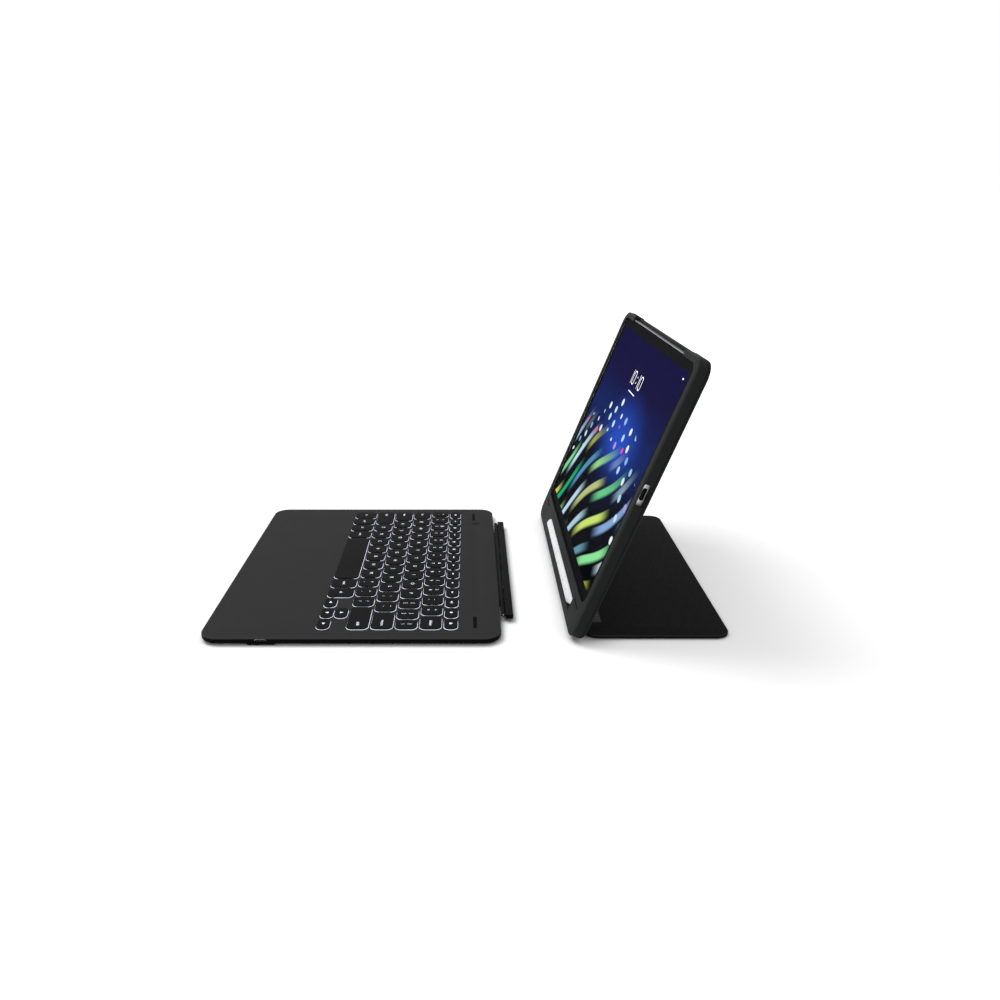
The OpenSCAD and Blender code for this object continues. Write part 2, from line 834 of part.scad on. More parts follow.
module case_hinge_leaves() {
  color("#6d6f73") leaned() for (x = [-1, 1]) translate([x * hinge_span / 2, pivot_s, 0]) difference() {
    union() {
      for (k = [-1, 1]) rod(k * (hinge_w - knuckle_w) / 2, 0, pivot_n, knuckle_w, barrel_r);
      box([-hinge_w / 2, barrel_r + barrel_gap, 0], [hinge_w / 2, leaf_d, leaf_t]);
      for (k = [-1, 1]) translate([k * (hinge_w - knuckle_w) / 2, 0, 0])
        box([-knuckle_w / 2, 0, 0], [knuckle_w / 2, barrel_r + leaf_web, leaf_t]);
    }
    rod(0, 0, pivot_n, hinge_w + past, stand_pin_r);
    leaf_screw_places() leaf_screw(leaf_t + past);
  }
}

module case_hinge_screws() {
  color("#9a9ca0") leaned() for (x = [-1, 1]) translate([x * hinge_span / 2, pivot_s, 0])
    leaf_screw_places() leaf_screw(leaf_t + leaf_screw_bite);
}

module stand_hinge_pins() {
  color("#b4b6ba") leaned() for (x = [-1, 1])
    rod(x * hinge_span / 2, pivot_s, pivot_n, hinge_w, stand_pin_r);
}

module plate_hinge_leaves() {
  color("#6d6f73") on_table() for (x = [-1, 1]) translate([x * hinge_span / 2, pivot_y, 0]) difference() {
    union() {
      rod(0, 0, pivot_z, mid_w, barrel_r);
      box([-hinge_w / 2, barrel_r + barrel_gap, plate_top - leaf_t], [hinge_w / 2, leaf_d, plate_top]);
      box([-mid_w / 2, 0, plate_top - leaf_t], [mid_w / 2, barrel_r + leaf_web, plate_top]);
    }
    rod(0, 0, pivot_z, hinge_w + past, stand_pin_r + running);
    translate([0, 0, plate_top]) mirror([0, 0, 1]) leaf_screw_places() leaf_screw(leaf_t + past);
  }
}

module plate_hinge_screws() {
  color("#9a9ca0") on_table() for (x = [-1, 1]) translate([x * hinge_span / 2, pivot_y, plate_top])
    mirror([0, 0, 1]) leaf_screw_places() leaf_screw(leaf_t + leaf_screw_bite);
}

// The four pads, as prisms between two heights
module pad_outlines(z0, z1) {
  for (x = [pad_side - plate_w / 2, plate_w / 2 - pad_side], y = [plate_near + pad_in, overall_d - pad_in]) {
    block(x - pad_half_w, x + pad_half_w, y - pad_half_d, y + pad_half_d, z0, z1, foot_r);
  }
}

module stand_plate() {
  color("#1e1e1f") on_table() difference() {
    translate([0, plate_near + plate_d / 2, plate_z])
      soft_slab(plate_w, plate_d, plate_t, plate_r, plate_top_r, plate_low_r);
    for (x = [-1, 1]) translate([x * hinge_span / 2, pivot_y, 0]) {
      rod(0, 0, pivot_z, hinge_w + 2 * slip, barrel_r + barrel_gap);
      box([-hinge_w / 2, 0, plate_top - leaf_t], [hinge_w / 2, leaf_d, plate_top + past]);
      translate([0, 0, plate_top]) mirror([0, 0, 1])
        leaf_screw_places() cylinder(r = leaf_screw_r, h = leaf_t + leaf_screw_bite);
    }
    pad_outlines(0, plate_z + pad_sink);
  }
}

module plate_pads() {
  color("#121212") on_table() pad_outlines(0, plate_z + pad_sink);
}

// ---- Tablet ----

// The tablet's plan, set in from its edge, between two heights
module tablet_slab(z0, z1, inset) {
  block(-tablet_w / 2 + inset, tablet_w / 2 - inset, tablet_s + inset, tablet_s + tablet_h - inset,
    z0, z1, tablet_r - inset);
}

module tablet_body() {
  color("#8f9195") leaned() difference() {
    union() {
      tablet_slab(tablet_z, glass_top, 0);
      // its own buttons, under the covers
      for (x = volume_x) translate([x, tablet_s + tablet_h - button_root, cover_n]) rotate([-90, 0, 0])
        linear_extrude(button_root + button_rise) round_rect(button_w, button_h, button_h / 2);
    }
    tablet_slab(glass_top - glass_t - display_t, glass_top + past, screen_in);
    translate([0, tablet_mid, tablet_port_n])
      along_x(tablet_w / 2 - port_len, tablet_w / 2 + past) port_profile(0);
    translate([camera_x, camera_s, tablet_z - past]) cylinder(r = camera_r, h = past + camera_sink);
  }
}

module tablet_display() {
  color("#1d3fae") leaned() tablet_slab(glass_top - glass_t - display_t, glass_top - glass_t, screen_in);
}

module tablet_glass() {
  color("#101216") leaned() tablet_slab(glass_top - glass_t, glass_top, screen_in);
}

module tablet_port() {
  color("#c4c6ca") leaned()
    translate([tablet_w / 2 - tablet_port_sink, tablet_mid, tablet_port_n])
      port_sleeve(port_len - tablet_port_sink);
}

module tablet_camera() {
  color("#0d0d10") leaned() translate([camera_x, camera_s, tablet_z]) difference() {
    translate([0, 0, -camera_rise]) cylinder(r = camera_r, h = camera_rise + camera_sink);
    translate([0, 0, -camera_rise - eps]) cylinder(r = lens_r, h = lens_sink);
  }
}

// ---- Button covers and stylus ----

module volume_up_cover() {
  color("#2a2c2b") leaned() on_top_wall(volume_x[0]) cover_solid(top_wall - fit);
}

module volume_down_cover() {
  color("#2a2c2b") leaned() on_top_wall(volume_x[1]) cover_solid(top_wall - fit);
}

module power_cover() {
  color("#2a2c2b") leaned() on_left_wall(power_s) cover_solid(side_wall);
}

module stylus_barrel() {
  len = stylus_len - tip_len;
  cap_r = 1.2;
  color("#f2f3f5") leaned() translate([stylus_x - stylus_len / 2, stylus_s, stylus_n])
    rotate([0, 90, 0]) rotate_extrude() {
      translate([0, cap_r]) square([stylus_r, len - cap_r]);
      square([stylus_r - cap_r, 2 * cap_r]);
      translate([stylus_r - cap_r, cap_r]) circle(cap_r);
    }
}

module stylus_tip() {
  point_r = 1;
  color("#e4e6e9") leaned() translate([stylus_x + stylus_len / 2 - tip_len, stylus_s, stylus_n])
    rotate([0, 90, 0]) union() {
      cylinder(r1 = stylus_r, r2 = 1.2 * point_r, h = tip_len - point_r);
      cylinder(r = point_r, h = tip_len);
    }
}

// ---- Keys ----

// One key cap on its rectangle, hollow below, with the stem that meets its dome
module key_cap(b) {
  w = b[1] - b[0];
  d = b[3] - b[2];
  r = corner_of(b);
  translate([(b[0] + b[1]) / 2, (b[2] + b[3]) / 2, cap_z]) {
    difference() {
      soft_slab(w, d, cap_h, r, key_edge_r, 0);
      translate([0, 0, -eps])
        linear_extrude(cap_h - cap_roof + eps) round_rect(w - 2 * cap_wall, d - 2 * cap_wall, r - cap_wall);
    }
    cylinder(r = stem_r, h = cap_h - cap_roof / 2);
  }
}

module keys(boxes) {
  color("#202022") on_table() for (b = boxes) key_cap(b);
}

module function_keys() { keys(key_boxes(0, 0, 13)); }
module number_keys() { keys(key_boxes(1, 0, 12)); }
module delete_key() { keys([key_box(1, 13)]); }
module tab_key() { keys([key_box(2, 0)]); }
module upper_letter_keys() { keys(key_boxes(2, 1, 12)); }
module backslash_key() { keys([key_box(2, 13)]); }
module caps_key() { keys([key_box(3, 0)]); }
module home_letter_keys() { keys(key_boxes(3, 1, 11)); }
module return_key() { keys([key_box(3, 12)]); }
module left_shift_key() { keys([key_box(4, 0)]); }
module lower_letter_keys() { keys(key_boxes(4, 1, 10)); }
module right_shift_key() { keys([key_box(4, 11)]); }
module layer_key() { keys([key_box(5, 0)]); }
module control_key() { keys([key_box(5, 1)]); }
module left_option_key() { keys([key_box(5, 2)]); }
module left_command_key() { keys([key_box(5, 3)]); }
module space_bar() { keys([key_box(5, 4)]); }
module right_command_key() { keys([key_box(5, 5)]); }
module right_option_key() { keys([key_box(5, 6)]); }
module left_arrow_key() { keys([arrow_box(0, 0)]); }
module up_arrow_key() { keys([arrow_box(1, 1)]); }
module down_arrow_key() { keys([arrow_box(1, 0)]); }
module right_arrow_key() { keys([arrow_box(2, 0)]); }

keyboard_base();
keyboard_deck();
light_guide();
dome_sheet();
circuit_board();
keyboard_battery();
charging_port();
keyboard_feet();
deck_bumpers();
base_screws();
fold_knuckle();
hinge_bar();
fold_hinge_pins();
bar_magnets();
case_frame();
case_back_shell();
case_lining();
case_magnets();
case_hinge_leaves();
case_hinge_screws();
stand_hinge_pins();
tablet_body();
tablet_display();
tablet_glass();
tablet_port();
tablet_camera();
volume_up_cover();
volume_down_cover();
power_cover();
stylus_barrel();
stylus_tip();
stand_plate();
plate_pads();
plate_hinge_leaves();
plate_hinge_screws();
function_keys();
number_keys();
delete_key();
tab_key();
upper_letter_keys();
backslash_key();
caps_key();
home_letter_keys();
return_key();
left_shift_key();
lower_letter_keys();
right_shift_key();
layer_key();
control_key();
left_option_key();
left_command_key();
space_bar();
right_command_key();
right_option_key();
left_arrow_key();
up_arrow_key();
down_arrow_key();
right_arrow_key();
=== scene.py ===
import json
import math

import bmesh
import bpy
from mathutils import Matrix, Vector


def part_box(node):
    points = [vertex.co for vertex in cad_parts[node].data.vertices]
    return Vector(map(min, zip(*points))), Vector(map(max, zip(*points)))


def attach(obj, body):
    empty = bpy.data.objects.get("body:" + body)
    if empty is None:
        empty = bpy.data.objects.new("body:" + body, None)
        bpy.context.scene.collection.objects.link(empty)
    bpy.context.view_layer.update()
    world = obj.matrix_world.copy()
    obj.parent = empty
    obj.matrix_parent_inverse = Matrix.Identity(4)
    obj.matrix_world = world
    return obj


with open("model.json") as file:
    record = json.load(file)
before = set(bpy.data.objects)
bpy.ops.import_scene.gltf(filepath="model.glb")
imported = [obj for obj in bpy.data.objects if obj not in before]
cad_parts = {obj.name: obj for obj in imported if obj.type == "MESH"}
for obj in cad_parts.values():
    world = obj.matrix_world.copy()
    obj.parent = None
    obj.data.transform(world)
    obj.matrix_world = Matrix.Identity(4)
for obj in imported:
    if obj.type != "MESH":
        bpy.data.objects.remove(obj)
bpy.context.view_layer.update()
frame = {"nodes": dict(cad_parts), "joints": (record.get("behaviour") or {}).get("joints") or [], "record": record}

bl_info = {
    "name": "Tablet keyboard case finish",
    "version": (1, 0, 0),
    "blender": (4, 5, 0),
    "location": "View3D > Sidebar > Keyboard Case",
    "description": "Dresses the keyboard, the leaning case, the tablet and the stylus, and sets the studio",
    "category": "Object",
}

NODES = frame["nodes"]
BODY_OF = {n: body for body, members in frame["record"]["behaviour"]["bodies"].items() for n in members}
MM = 0.001
WELD_DISTANCE = 0.001 * MM
SMOOTH_ANGLE = math.radians(30)


def joint(name):
    """The joint of that name, as the frame gives it."""
    return next(j for j in frame["joints"] if j["name"] == name)


LEAN = math.radians(joint("stand_hinge")["range_deg"][1])
UP_CASE = Vector((0, math.cos(LEAN), math.sin(LEAN)))
OUT_OF_CASE = Vector((0, -math.sin(LEAN), math.cos(LEAN)))


def srgb(text):
    """Linear colour, with alpha, of a six-digit screen colour."""
    channels = [int(text[i:i + 2], 16) / 255 for i in (0, 2, 4)]
    return tuple(c / 12.92 if c <= 0.04045 else ((c + 0.055) / 1.055) ** 2.4 for c in channels) + (1.0,)


def colour_setting(name, description, text):
    """A colour property with a plain default."""
    return bpy.props.FloatVectorProperty(
        name=name, description=description, subtype="COLOR", size=4, min=0, max=1, default=srgb(text))


def length_setting(name, description, default):
    """A length property, in metres."""
    return bpy.props.FloatProperty(
        name=name, description=description, default=default, subtype="DISTANCE", unit="LENGTH", precision=5)


# ---- Settings ----

class KeyboardFinish(bpy.types.PropertyGroup):
    """Colours of the keyboard and the size of what is printed or lit on it."""
    deck: colour_setting("Top shell", "Colour of the soft-touch top shell", "353536")
    # near black: partly the lower shell's own colour and partly painted shade for the undercut below the
    # keyboard's edge
    base: colour_setting("Lower shell", "Colour of the lower shell", "0c0c0d")
    cap: colour_setting("Key caps", "Colour of the key caps", "1a1a1b")
    light: colour_setting("Key light", "Colour of the light round the keys", "dedff4")
    light_strength: bpy.props.FloatProperty(
        name="Light strength", description="Strength of the light round the keys", default=1.6, min=0)
    legend: colour_setting("Legends", "Colour of the lit legends", "e8e8ff")
    legend_size: length_setting("Legend size", "Letter height of a key's legend", 4.0 * MM)
    word_size: length_setting("Word size", "Letter height of a word on a wide key", 3.1 * MM)
    word_margin: length_setting("Word margin", "Space between a word and its key's outer edge", 4.6 * MM)
    corner: length_setting("Key corner", "Plan radius of a key's corners", 4.2 * MM)
    skirt: length_setting("Lit skirt", "Height of a key's lit skirt above the top shell", 0.14 * MM)
    skirt_gap: length_setting("Skirt gap", "Space between a key and its lit skirt", 0.03 * MM)
    skirt_wall: length_setting("Skirt wall", "Thickness of a key's lit skirt", 0.15 * MM)
    skirt_sink: length_setting("Skirt depth", "How far a lit skirt reaches into the top shell", 0.6 * MM)
    arrow_size: length_setting("Arrow size", "Length of the arrow on an arrow key", 1.5 * MM)
    pair_shift: length_setting("Pair shift", "Distance of a pair's signs from the key's middle", 2.6 * MM)
    pair_scale: bpy.props.FloatProperty(
        name="Pair scale", description="Size of a pair's signs beside a single legend", default=0.85, min=0)
    # painted highlight: height of the bright band along the charging port's top lip
    port_lip_highlight: length_setting("Port lip", "Height of the bright lip of the charging port", 0.7 * MM)


class CaseFinish(bpy.types.PropertyGroup):
    """Colours of the case and of the stand."""
    rubber: colour_setting("Frame", "Colour of the rubber frame", "232424")
    shell: colour_setting("Back shell", "Colour of the back shell", "1f2020")
    lining: colour_setting("Lining", "Colour of the soft lining", "55575a")
    plate: colour_setting("Stand plate", "Colour of the stand plate's skin", "1a1a1b")
    steel: colour_setting("Steel", "Colour of the stand hinges' screws", "9a9ca0")


class TabletFinish(bpy.types.PropertyGroup):
    """Colours of the tablet, its picture and the stylus."""
    body: colour_setting("Tablet body", "Colour of the anodised body", "d2d3d6")
    # painted shade: a darker band along the tablet's top edge that dims the edge seen through the case's notch
    strip: colour_setting("Top edge painted shade", "Colour of the strip along the tablet's top edge", "4c4d50")
    top_shade_width: length_setting("Top edge painted shade width", "Width of the strip along the top edge", 2.6 * MM)
    border: colour_setting("Border", "Colour of the border round the picture", "1b1b1d")
    night: colour_setting("Picture, dark", "Darkest blue of the picture", "110e3e")
    day: colour_setting("Picture, bright", "Brightest blue of the picture", "2450c8")
    picture_strength: bpy.props.FloatProperty(
        name="Picture strength", description="Strength of the lit picture", default=1.0, min=0)
    bezel: length_setting("Border width", "Width of the dark border", 9 * MM)
    stylus: colour_setting("Stylus", "Colour of the stylus", "f3f4f6")


class StudioSetup(bpy.types.PropertyGroup):
    """Camera, floor and lights."""
    focal: bpy.props.FloatProperty(
        name="Lens", description="Focal length in millimetres", default=30.64, min=1)
    pitch: bpy.props.FloatProperty(
        name="Pitch", description="How far the camera looks down", subtype="ANGLE",
        default=math.radians(18.77))
    camera_x: length_setting("Camera X", "Camera's distance to the right of the middle", 641.7 * MM)
    camera_y: length_setting("Camera Y", "Camera's distance behind the middle", 1.8 * MM)
    camera_z: length_setting("Camera Z", "Camera's height above the table", 281.3 * MM)
    shift_x: bpy.props.FloatProperty(name="Shift X", description="Sideways lens shift", default=0.031)
    shift_y: bpy.props.FloatProperty(name="Shift Y", description="Upward lens shift", default=-0.004)
    world: bpy.props.FloatProperty(name="World", description="Strength of the light all round", default=0.5)
    floor: colour_setting("Floor", "Colour of the floor", "f4f4f4")


SETTINGS = {
    "keyboard_finish": KeyboardFinish,
    "case_finish": CaseFinish,
    "tablet_finish": TabletFinish,
    "studio_setup": StudioSetup,
}


# ---- Shader building ----

class Shader:
    """A material under construction: its nodes, its links and its principled shader."""

    def __init__(self, name):
        self.material = bpy.data.materials.new(name)
        self.material.use_nodes = True
        self.tree = self.material.node_tree
        self.tree.nodes.clear()
        self.output = self.tree.nodes.new("ShaderNodeOutputMaterial")
        self.surface = self.tree.nodes.new("ShaderNodeBsdfPrincipled")
        self.link(self.surface.outputs["BSDF"], self.output.inputs["Surface"])

    def link(self, source, target):
        """Joins an output to an input, or writes a plain value into the input."""
        if isinstance(source, bpy.types.NodeSocket):
            self.tree.links.new(source, target)
        else:
            target.default_value = source

    def set(self, **values):
        """Writes fixed values on the principled shader; underscores stand for spaces."""
        for name, value in values.items():
            self.surface.inputs[name.replace("_", " ")].default_value = value
        return self

    def feed(self, name, source):
        """Feeds one input of the principled shader."""
        self.link(source, self.surface.inputs[name])

    def place(self, stretch=(1, 1, 1)):
        """Object coordinates in metres, stretched."""
        coordinates = self.tree.nodes.new("ShaderNodeTexCoord")
        mapping = self.tree.nodes.new("ShaderNodeMapping")
        mapping.inputs["Scale"].default_value = stretch
        self.link(coordinates.outputs["Object"], mapping.inputs["Vector"])
        return mapping.outputs["Vector"]

    def noise(self, size, detail=2.0, stretch=(1, 1, 1), roughness=0.5):
        """Cloudy noise whose blotches are about size metres wide."""
        node = self.tree.nodes.new("ShaderNodeTexNoise")
        node.inputs["Scale"].default_value = 1 / size
        node.inputs["Detail"].default_value = detail
        node.inputs["Roughness"].default_value = roughness
        self.link(self.place(stretch), node.inputs["Vector"])
        return node.outputs["Fac"]

    def dot(self, vector, direction):
        """How far a vector reaches along a fixed direction."""
        node = self.tree.nodes.new("ShaderNodeVectorMath")
        node.operation = "DOT_PRODUCT"
        self.link(vector, node.inputs[0])
        node.inputs[1].default_value = direction
        return node.outputs["Value"]

    def cells(self, size, feature="F1", metric="EUCLIDEAN", vector=None, jitter=1.0):
        """Cell pattern whose cells are about size metres wide."""
        node = self.tree.nodes.new("ShaderNodeTexVoronoi")
        node.feature = feature
        node.distance = metric
        node.inputs["Scale"].default_value = 1 / size
        node.inputs["Randomness"].default_value = jitter
        self.link(vector if vector is not None else self.place(), node.inputs["Vector"])
        return node.outputs

    def math(self, operation, a, b=0.0):
        """One arithmetic node."""
        node = self.tree.nodes.new("ShaderNodeMath")
        node.operation = operation
        self.link(a, node.inputs[0])
        self.link(b, node.inputs[1])
        return node.outputs[0]

    def spread(self, value, low, high, to_low=0.0, to_high=1.0):
        """Maps value from one range to another, and holds it inside."""
        node = self.tree.nodes.new("ShaderNodeMapRange")
        node.interpolation_type = "SMOOTHSTEP"
        for name, number in (("From Min", low), ("From Max", high), ("To Min", to_low), ("To Max", to_high)):
            node.inputs[name].default_value = number
        self.link(value, node.inputs["Value"])
        return node.outputs["Result"]

    def ramp(self, value, *stops):
        """Colours along a value: stops are (place, colour)."""
        node = self.tree.nodes.new("ShaderNodeValToRGB")
        elements = node.color_ramp.elements
        while len(elements) < len(stops):
            elements.new(0.5)
        for element, (at, colour) in zip(elements, stops):
            element.position = at
            element.color = colour
        self.link(value, node.inputs["Fac"])
        return node.outputs["Color"]

    def blend(self, factor, a, b):
        """Mixes two colours."""
        node = self.tree.nodes.new("ShaderNodeMix")
        node.data_type = "RGBA"
        self.link(factor, node.inputs["Factor"])
        colour_a, colour_b = (port for port in node.inputs if port.type == "RGBA")
        self.link(a, colour_a)
        self.link(b, colour_b)
        return next(port for port in node.outputs if port.type == "RGBA")

    def bump(self, height, distance, strength=1.0):
        """Feeds the normal from a height, distance metres deep."""
        node = self.tree.nodes.new("ShaderNodeBump")
        node.inputs["Strength"].default_value = strength
        node.inputs["Distance"].default_value = distance
        self.link(height, node.inputs["Height"])
        previous = self.surface.inputs["Normal"]
        if previous.is_linked:
            self.link(previous.links[0].from_socket, node.inputs["Normal"])
        self.feed("Normal", node.outputs["Normal"])

    def edge_light(self, colour, paler, face=(0, 0, 1)):
        """Colour that turns paler on the rounded edges round a face: a painted highlight."""
        coordinates = self.tree.nodes.new("ShaderNodeTexCoord")
        straight = self.math("ABSOLUTE", self.dot(coordinates.outputs["Normal"], face))
        # painted highlight: paler colour on the rounded edges between flat faces
        painted_edge_highlight = self.math("MULTIPLY", self.spread(straight, 0.985, 0.85), self.spread(straight, 0.2, 0.5))
        return self.blend(painted_edge_highlight, colour, paler)


def tint(colour, factor):
    """A colour made lighter or darker."""
    return tuple(min(1.0, c * factor) for c in colour[:3]) + (1.0,)


def mottled(shader, colour, size, amount):
    """Colour that drifts a little lighter and darker over the surface."""
    drift = shader.noise(size, detail=4)
    return shader.ramp(drift, (0.3, tint(colour, 1 - amount)), (0.7, tint(colour, 1 + amount)))


def soft_touch(name, colour, roughness=0.6, grain=0.25 * MM, shine=0.015):
    """Matt lacquered plastic with a fine even grain and faint hand marks."""
    s = Shader(name)
    s.feed("Base Color", s.edge_light(mottled(s, colour, 3 * MM, 0.03), tint(colour, 1.7)))
    s.feed("Roughness", s.spread(s.noise(25 * MM, detail=3), 0.35, 0.7, roughness - 0.02, roughness + 0.02))
    s.bump(s.noise(grain, detail=1), 0.012 * MM, 0.5)
    return s.set(Specular_IOR_Level=shine).material


def moulded(name, colour, roughness=0.6, grain=0.35 * MM, shine=0.02, face=(0, 0, 1)):
    """Spark-textured moulded plastic."""
    s = Shader(name)
    s.feed("Base Color", s.edge_light(mottled(s, colour, 4 * MM, 0.04), tint(colour, 1.8), face))
    s.feed("Roughness", s.spread(s.noise(grain * 2), 0.3, 0.7, roughness - 0.08, roughness + 0.08))
    s.bump(s.cells(grain)["Distance"], 0.02 * MM, 0.5)
    return s.set(Specular_IOR_Level=shine).material


def rubber(name, colour, roughness=0.72, face=(0, 0, 1)):
    """Soft rubber with a dusty bloom."""
    s = Shader(name)
    bloom = s.noise(60 * MM, detail=6, roughness=0.65)
    tone = s.ramp(bloom, (0.35, tint(colour, 0.96)), (0.75, tint(colour, 1.08)))
    s.feed("Base Color", s.edge_light(tone, tint(colour, 1.6), face))
    s.feed("Roughness", s.spread(bloom, 0.3, 0.7, roughness - 0.07, roughness + 0.05))
    s.bump(s.noise(0.4 * MM, detail=3), 0.015 * MM, 0.6)
    return s.set(Specular_IOR_Level=0.06).material


def grained_skin(name, colour):
    """Thin synthetic leather: small pebbles with soft valleys between them."""
    s = Shader(name)
    valleys = s.cells(0.9 * MM, feature="SMOOTH_F1")["Distance"]
    tone = s.ramp(valleys, (0.1, tint(colour, 1.12)), (0.7, tint(colour, 0.8)))
    s.feed("Base Color", s.edge_light(tone, tint(colour, 3.5)))
    s.feed("Roughness", s.spread(valleys, 0.1, 0.7, 0.5, 0.68))
    s.bump(s.math("SUBTRACT", 1.0, valleys), 0.05 * MM, 0.6)
    s.bump(s.noise(0.15 * MM), 0.01 * MM, 0.4)
    return s.set(Specular_IOR_Level=0.02).material


def brushed(name, colour, roughness, along=(0.02, 1, 1)):
    """Metal with fine brush lines along one direction."""
    s = Shader(name)
    lines = s.noise(0.12 * MM, detail=3, stretch=along)
    s.feed("Base Color", s.ramp(lines, (0.3, tint(colour, 0.86)), (0.7, tint(colour, 1.08))))
    s.feed("Roughness", s.spread(lines, 0.3, 0.7, roughness - 0.08, roughness + 0.1))
    s.bump(lines, 0.004 * MM, 0.4)
    return s.set(Metallic=1.0).material


def blasted(name, colour, strip=None):
    """Bead-blasted metal. A strip is (direction, distance, colour): that colour lies past the distance."""
    s = Shader(name)
    pits = s.noise(0.08 * MM, detail=2)
    tone = s.ramp(pits, (0.3, tint(colour, 0.94)), (0.7, tint(colour, 1.05)))
    if strip:
        direction, distance, strip_colour = strip
        within = s.spread(s.dot(s.place(), direction), distance, distance + 0.1 * MM)
        tone = s.blend(within, tone, strip_colour)
    s.feed("Base Color", tone)
    s.feed("Roughness", s.spread(s.noise(20 * MM), 0.3, 0.7, 0.36, 0.44))
    s.bump(pits, 0.004 * MM, 0.3)
    return s.set(Metallic=0.9).material


def lit(name, colour, strength):
    """A lit translucent line or legend, a little uneven along its length."""
    s = Shader(name)
    glow = s.ramp(s.noise(9 * MM, detail=2), (0.3, tint(colour, 0.7)), (0.65, colour))
    s.feed("Base Color", glow)
    s.feed("Emission Color", glow)
    return s.set(Emission_Strength=strength, Roughness=0.4).material


# ---- Mesh building ----

def mesh_piece(name, mesh, material, body):
    """Puts a finished mesh in the scene as a piece that rides on a body."""
    mesh.materials.clear()
    mesh.materials.append(material)
    piece = bpy.data.objects.new(name, mesh)
    bpy.context.scene.collection.objects.link(piece)
    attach(piece, body)


def dress(node, material):
    """Gives a CAD node its finish, with round faces shaded smooth."""
    obj = NODES[node]
    obj.data.materials.clear()
    obj.data.materials.append(material)
    obj.data.polygons.foreach_set("use_smooth", [True] * len(obj.data.polygons))
    if "custom_normal" in obj.data.attributes:
        obj.data.attributes.remove(obj.data.attributes["custom_normal"])
    weld = obj.modifiers.new("Weld", "WELD")
    weld.merge_threshold = WELD_DISTANCE
    split = obj.modifiers.new("Split", "EDGE_SPLIT")
    split.split_angle = SMOOTH_ANGLE


def islands(node):
    """Boxes of a node's separate solids, from left to right."""
    bm = bmesh.new()
    bm.from_mesh(NODES[node].data)
    bmesh.ops.remove_doubles(bm, verts=bm.verts, dist=WELD_DISTANCE)
    boxes, seen = [], set()
    for start in bm.verts:
        if start in seen:
            continue
        group, stack = [], [start]
        seen.add(start)
        while stack:
            vertex = stack.pop()
            group.append(vertex.co.copy())
            for edge in vertex.link_edges:
                other = edge.other_vert(vertex)
                if other not in seen:
                    seen.add(other)
                    stack.append(other)
        boxes.append((Vector(min(c[i] for c in group) for i in range(3)),
                      Vector(max(c[i] for c in group) for i in range(3))))
    bm.free()
    return sorted(boxes, key=lambda b: (round(b[0].x, 4), b[0].y))


def outline(low, high, radius, grow=0.0):
    """Points round a rectangle with round corners, grown outwards."""
    steps = 8
    r = radius + grow
    centres = [(high.x - radius, high.y - radius), (low.x + radius, high.y - radius),
               (low.x + radius, low.y + radius), (high.x - radius, low.y + radius)]
    points = []
    for turn, (x, y) in enumerate(centres):
        for step in range(steps + 1):
            angle = math.pi / 2 * (turn + step / steps)
            points.append((x + r * math.cos(angle), y + r * math.sin(angle)))
    return points


def ring_wall(bm, inner, outer, bottom, top):
    """A closed ring between two outlines, from bottom to top."""
    loops = [[bm.verts.new((x, y, z)) for x, y in points]
             for points, z in ((inner, bottom), (inner, top), (outer, top), (outer, bottom))]
    count = len(inner)
    for a, b in zip(loops, loops[1:] + loops[:1]):
        for i in range(count):
            j = (i + 1) % count
            bm.faces.new((a[i], b[i], b[j], a[j]))


def prism(bm, points, bottom, top):
    """A closed prism on a flat outline."""
    low = [bm.verts.new((x, y, bottom)) for x, y in points]
    high = [bm.verts.new((x, y, top)) for x, y in points]
    bm.faces.new(list(reversed(low)))
    bm.faces.new(high)
    count = len(points)
    for i in range(count):
        j = (i + 1) % count
        bm.faces.new((low[i], low[j], high[j], high[i]))


def finished_mesh(bm, name):
    """Turns a bmesh into a mesh with its faces outwards."""
    bmesh.ops.recalc_face_normals(bm, faces=bm.faces)
    mesh = bpy.data.meshes.new(name)
    bm.to_mesh(mesh)
    bm.free()
    return mesh


# ---- Keyboard ----

KEY_NODES = [part["node"] for part in frame["record"]["subparts"] if part["material_slot"] == "key_plastic"]

# What stands on the keys of each node, from left to right: a letter, or an upper and a lower sign
LEGENDS = {
    "number_keys": [("~", "`"), ("!", "1"), ("@", "2"), ("#", "3"), ("$", "4"), ("%", "5"), ("^", "6"),
                    ("&", "7"), ("*", "8"), ("(", "9"), (")", "0"), ("_", "-"), ("+", "=")],
    "upper_letter_keys": list("QWERTYUIOP") + [("{", "["), ("}", "]")],
    "backslash_key": [("|", "\\")],
    "home_letter_keys": list("ASDFGHJKL") + [(":", ";"), ("\"", "'")],
    "lower_letter_keys": list("ZXCVBNM") + [("<", ","), (">", "."), ("?", "/")],
}
# The word on a wide key, and its side: -1 for left, 0 for middle and 1 for right
WORDS = {
    "tab_key": ("tab", -1), "caps_key": ("caps", -1), "left_shift_key": ("shift", -1),
    "delete_key": ("delete", 1), "return_key": ("return", 1), "right_shift_key": ("shift", 1),
    "layer_key": ("fn", 0), "control_key": ("ctrl", 0), "left_option_key": ("alt", 0),
    "left_command_key": ("cmd", 0), "right_command_key": ("cmd", 0), "right_option_key": ("alt", 0),
}
# The way each arrow points, in degrees
ARROWS = {"left_arrow_key": 180, "up_arrow_key": 90, "down_arrow_key": -90, "right_arrow_key": 0}
# How far legends stand above a key, and their thickness
LEGEND_LIFT = 0.02 * MM
INK = 0.03 * MM


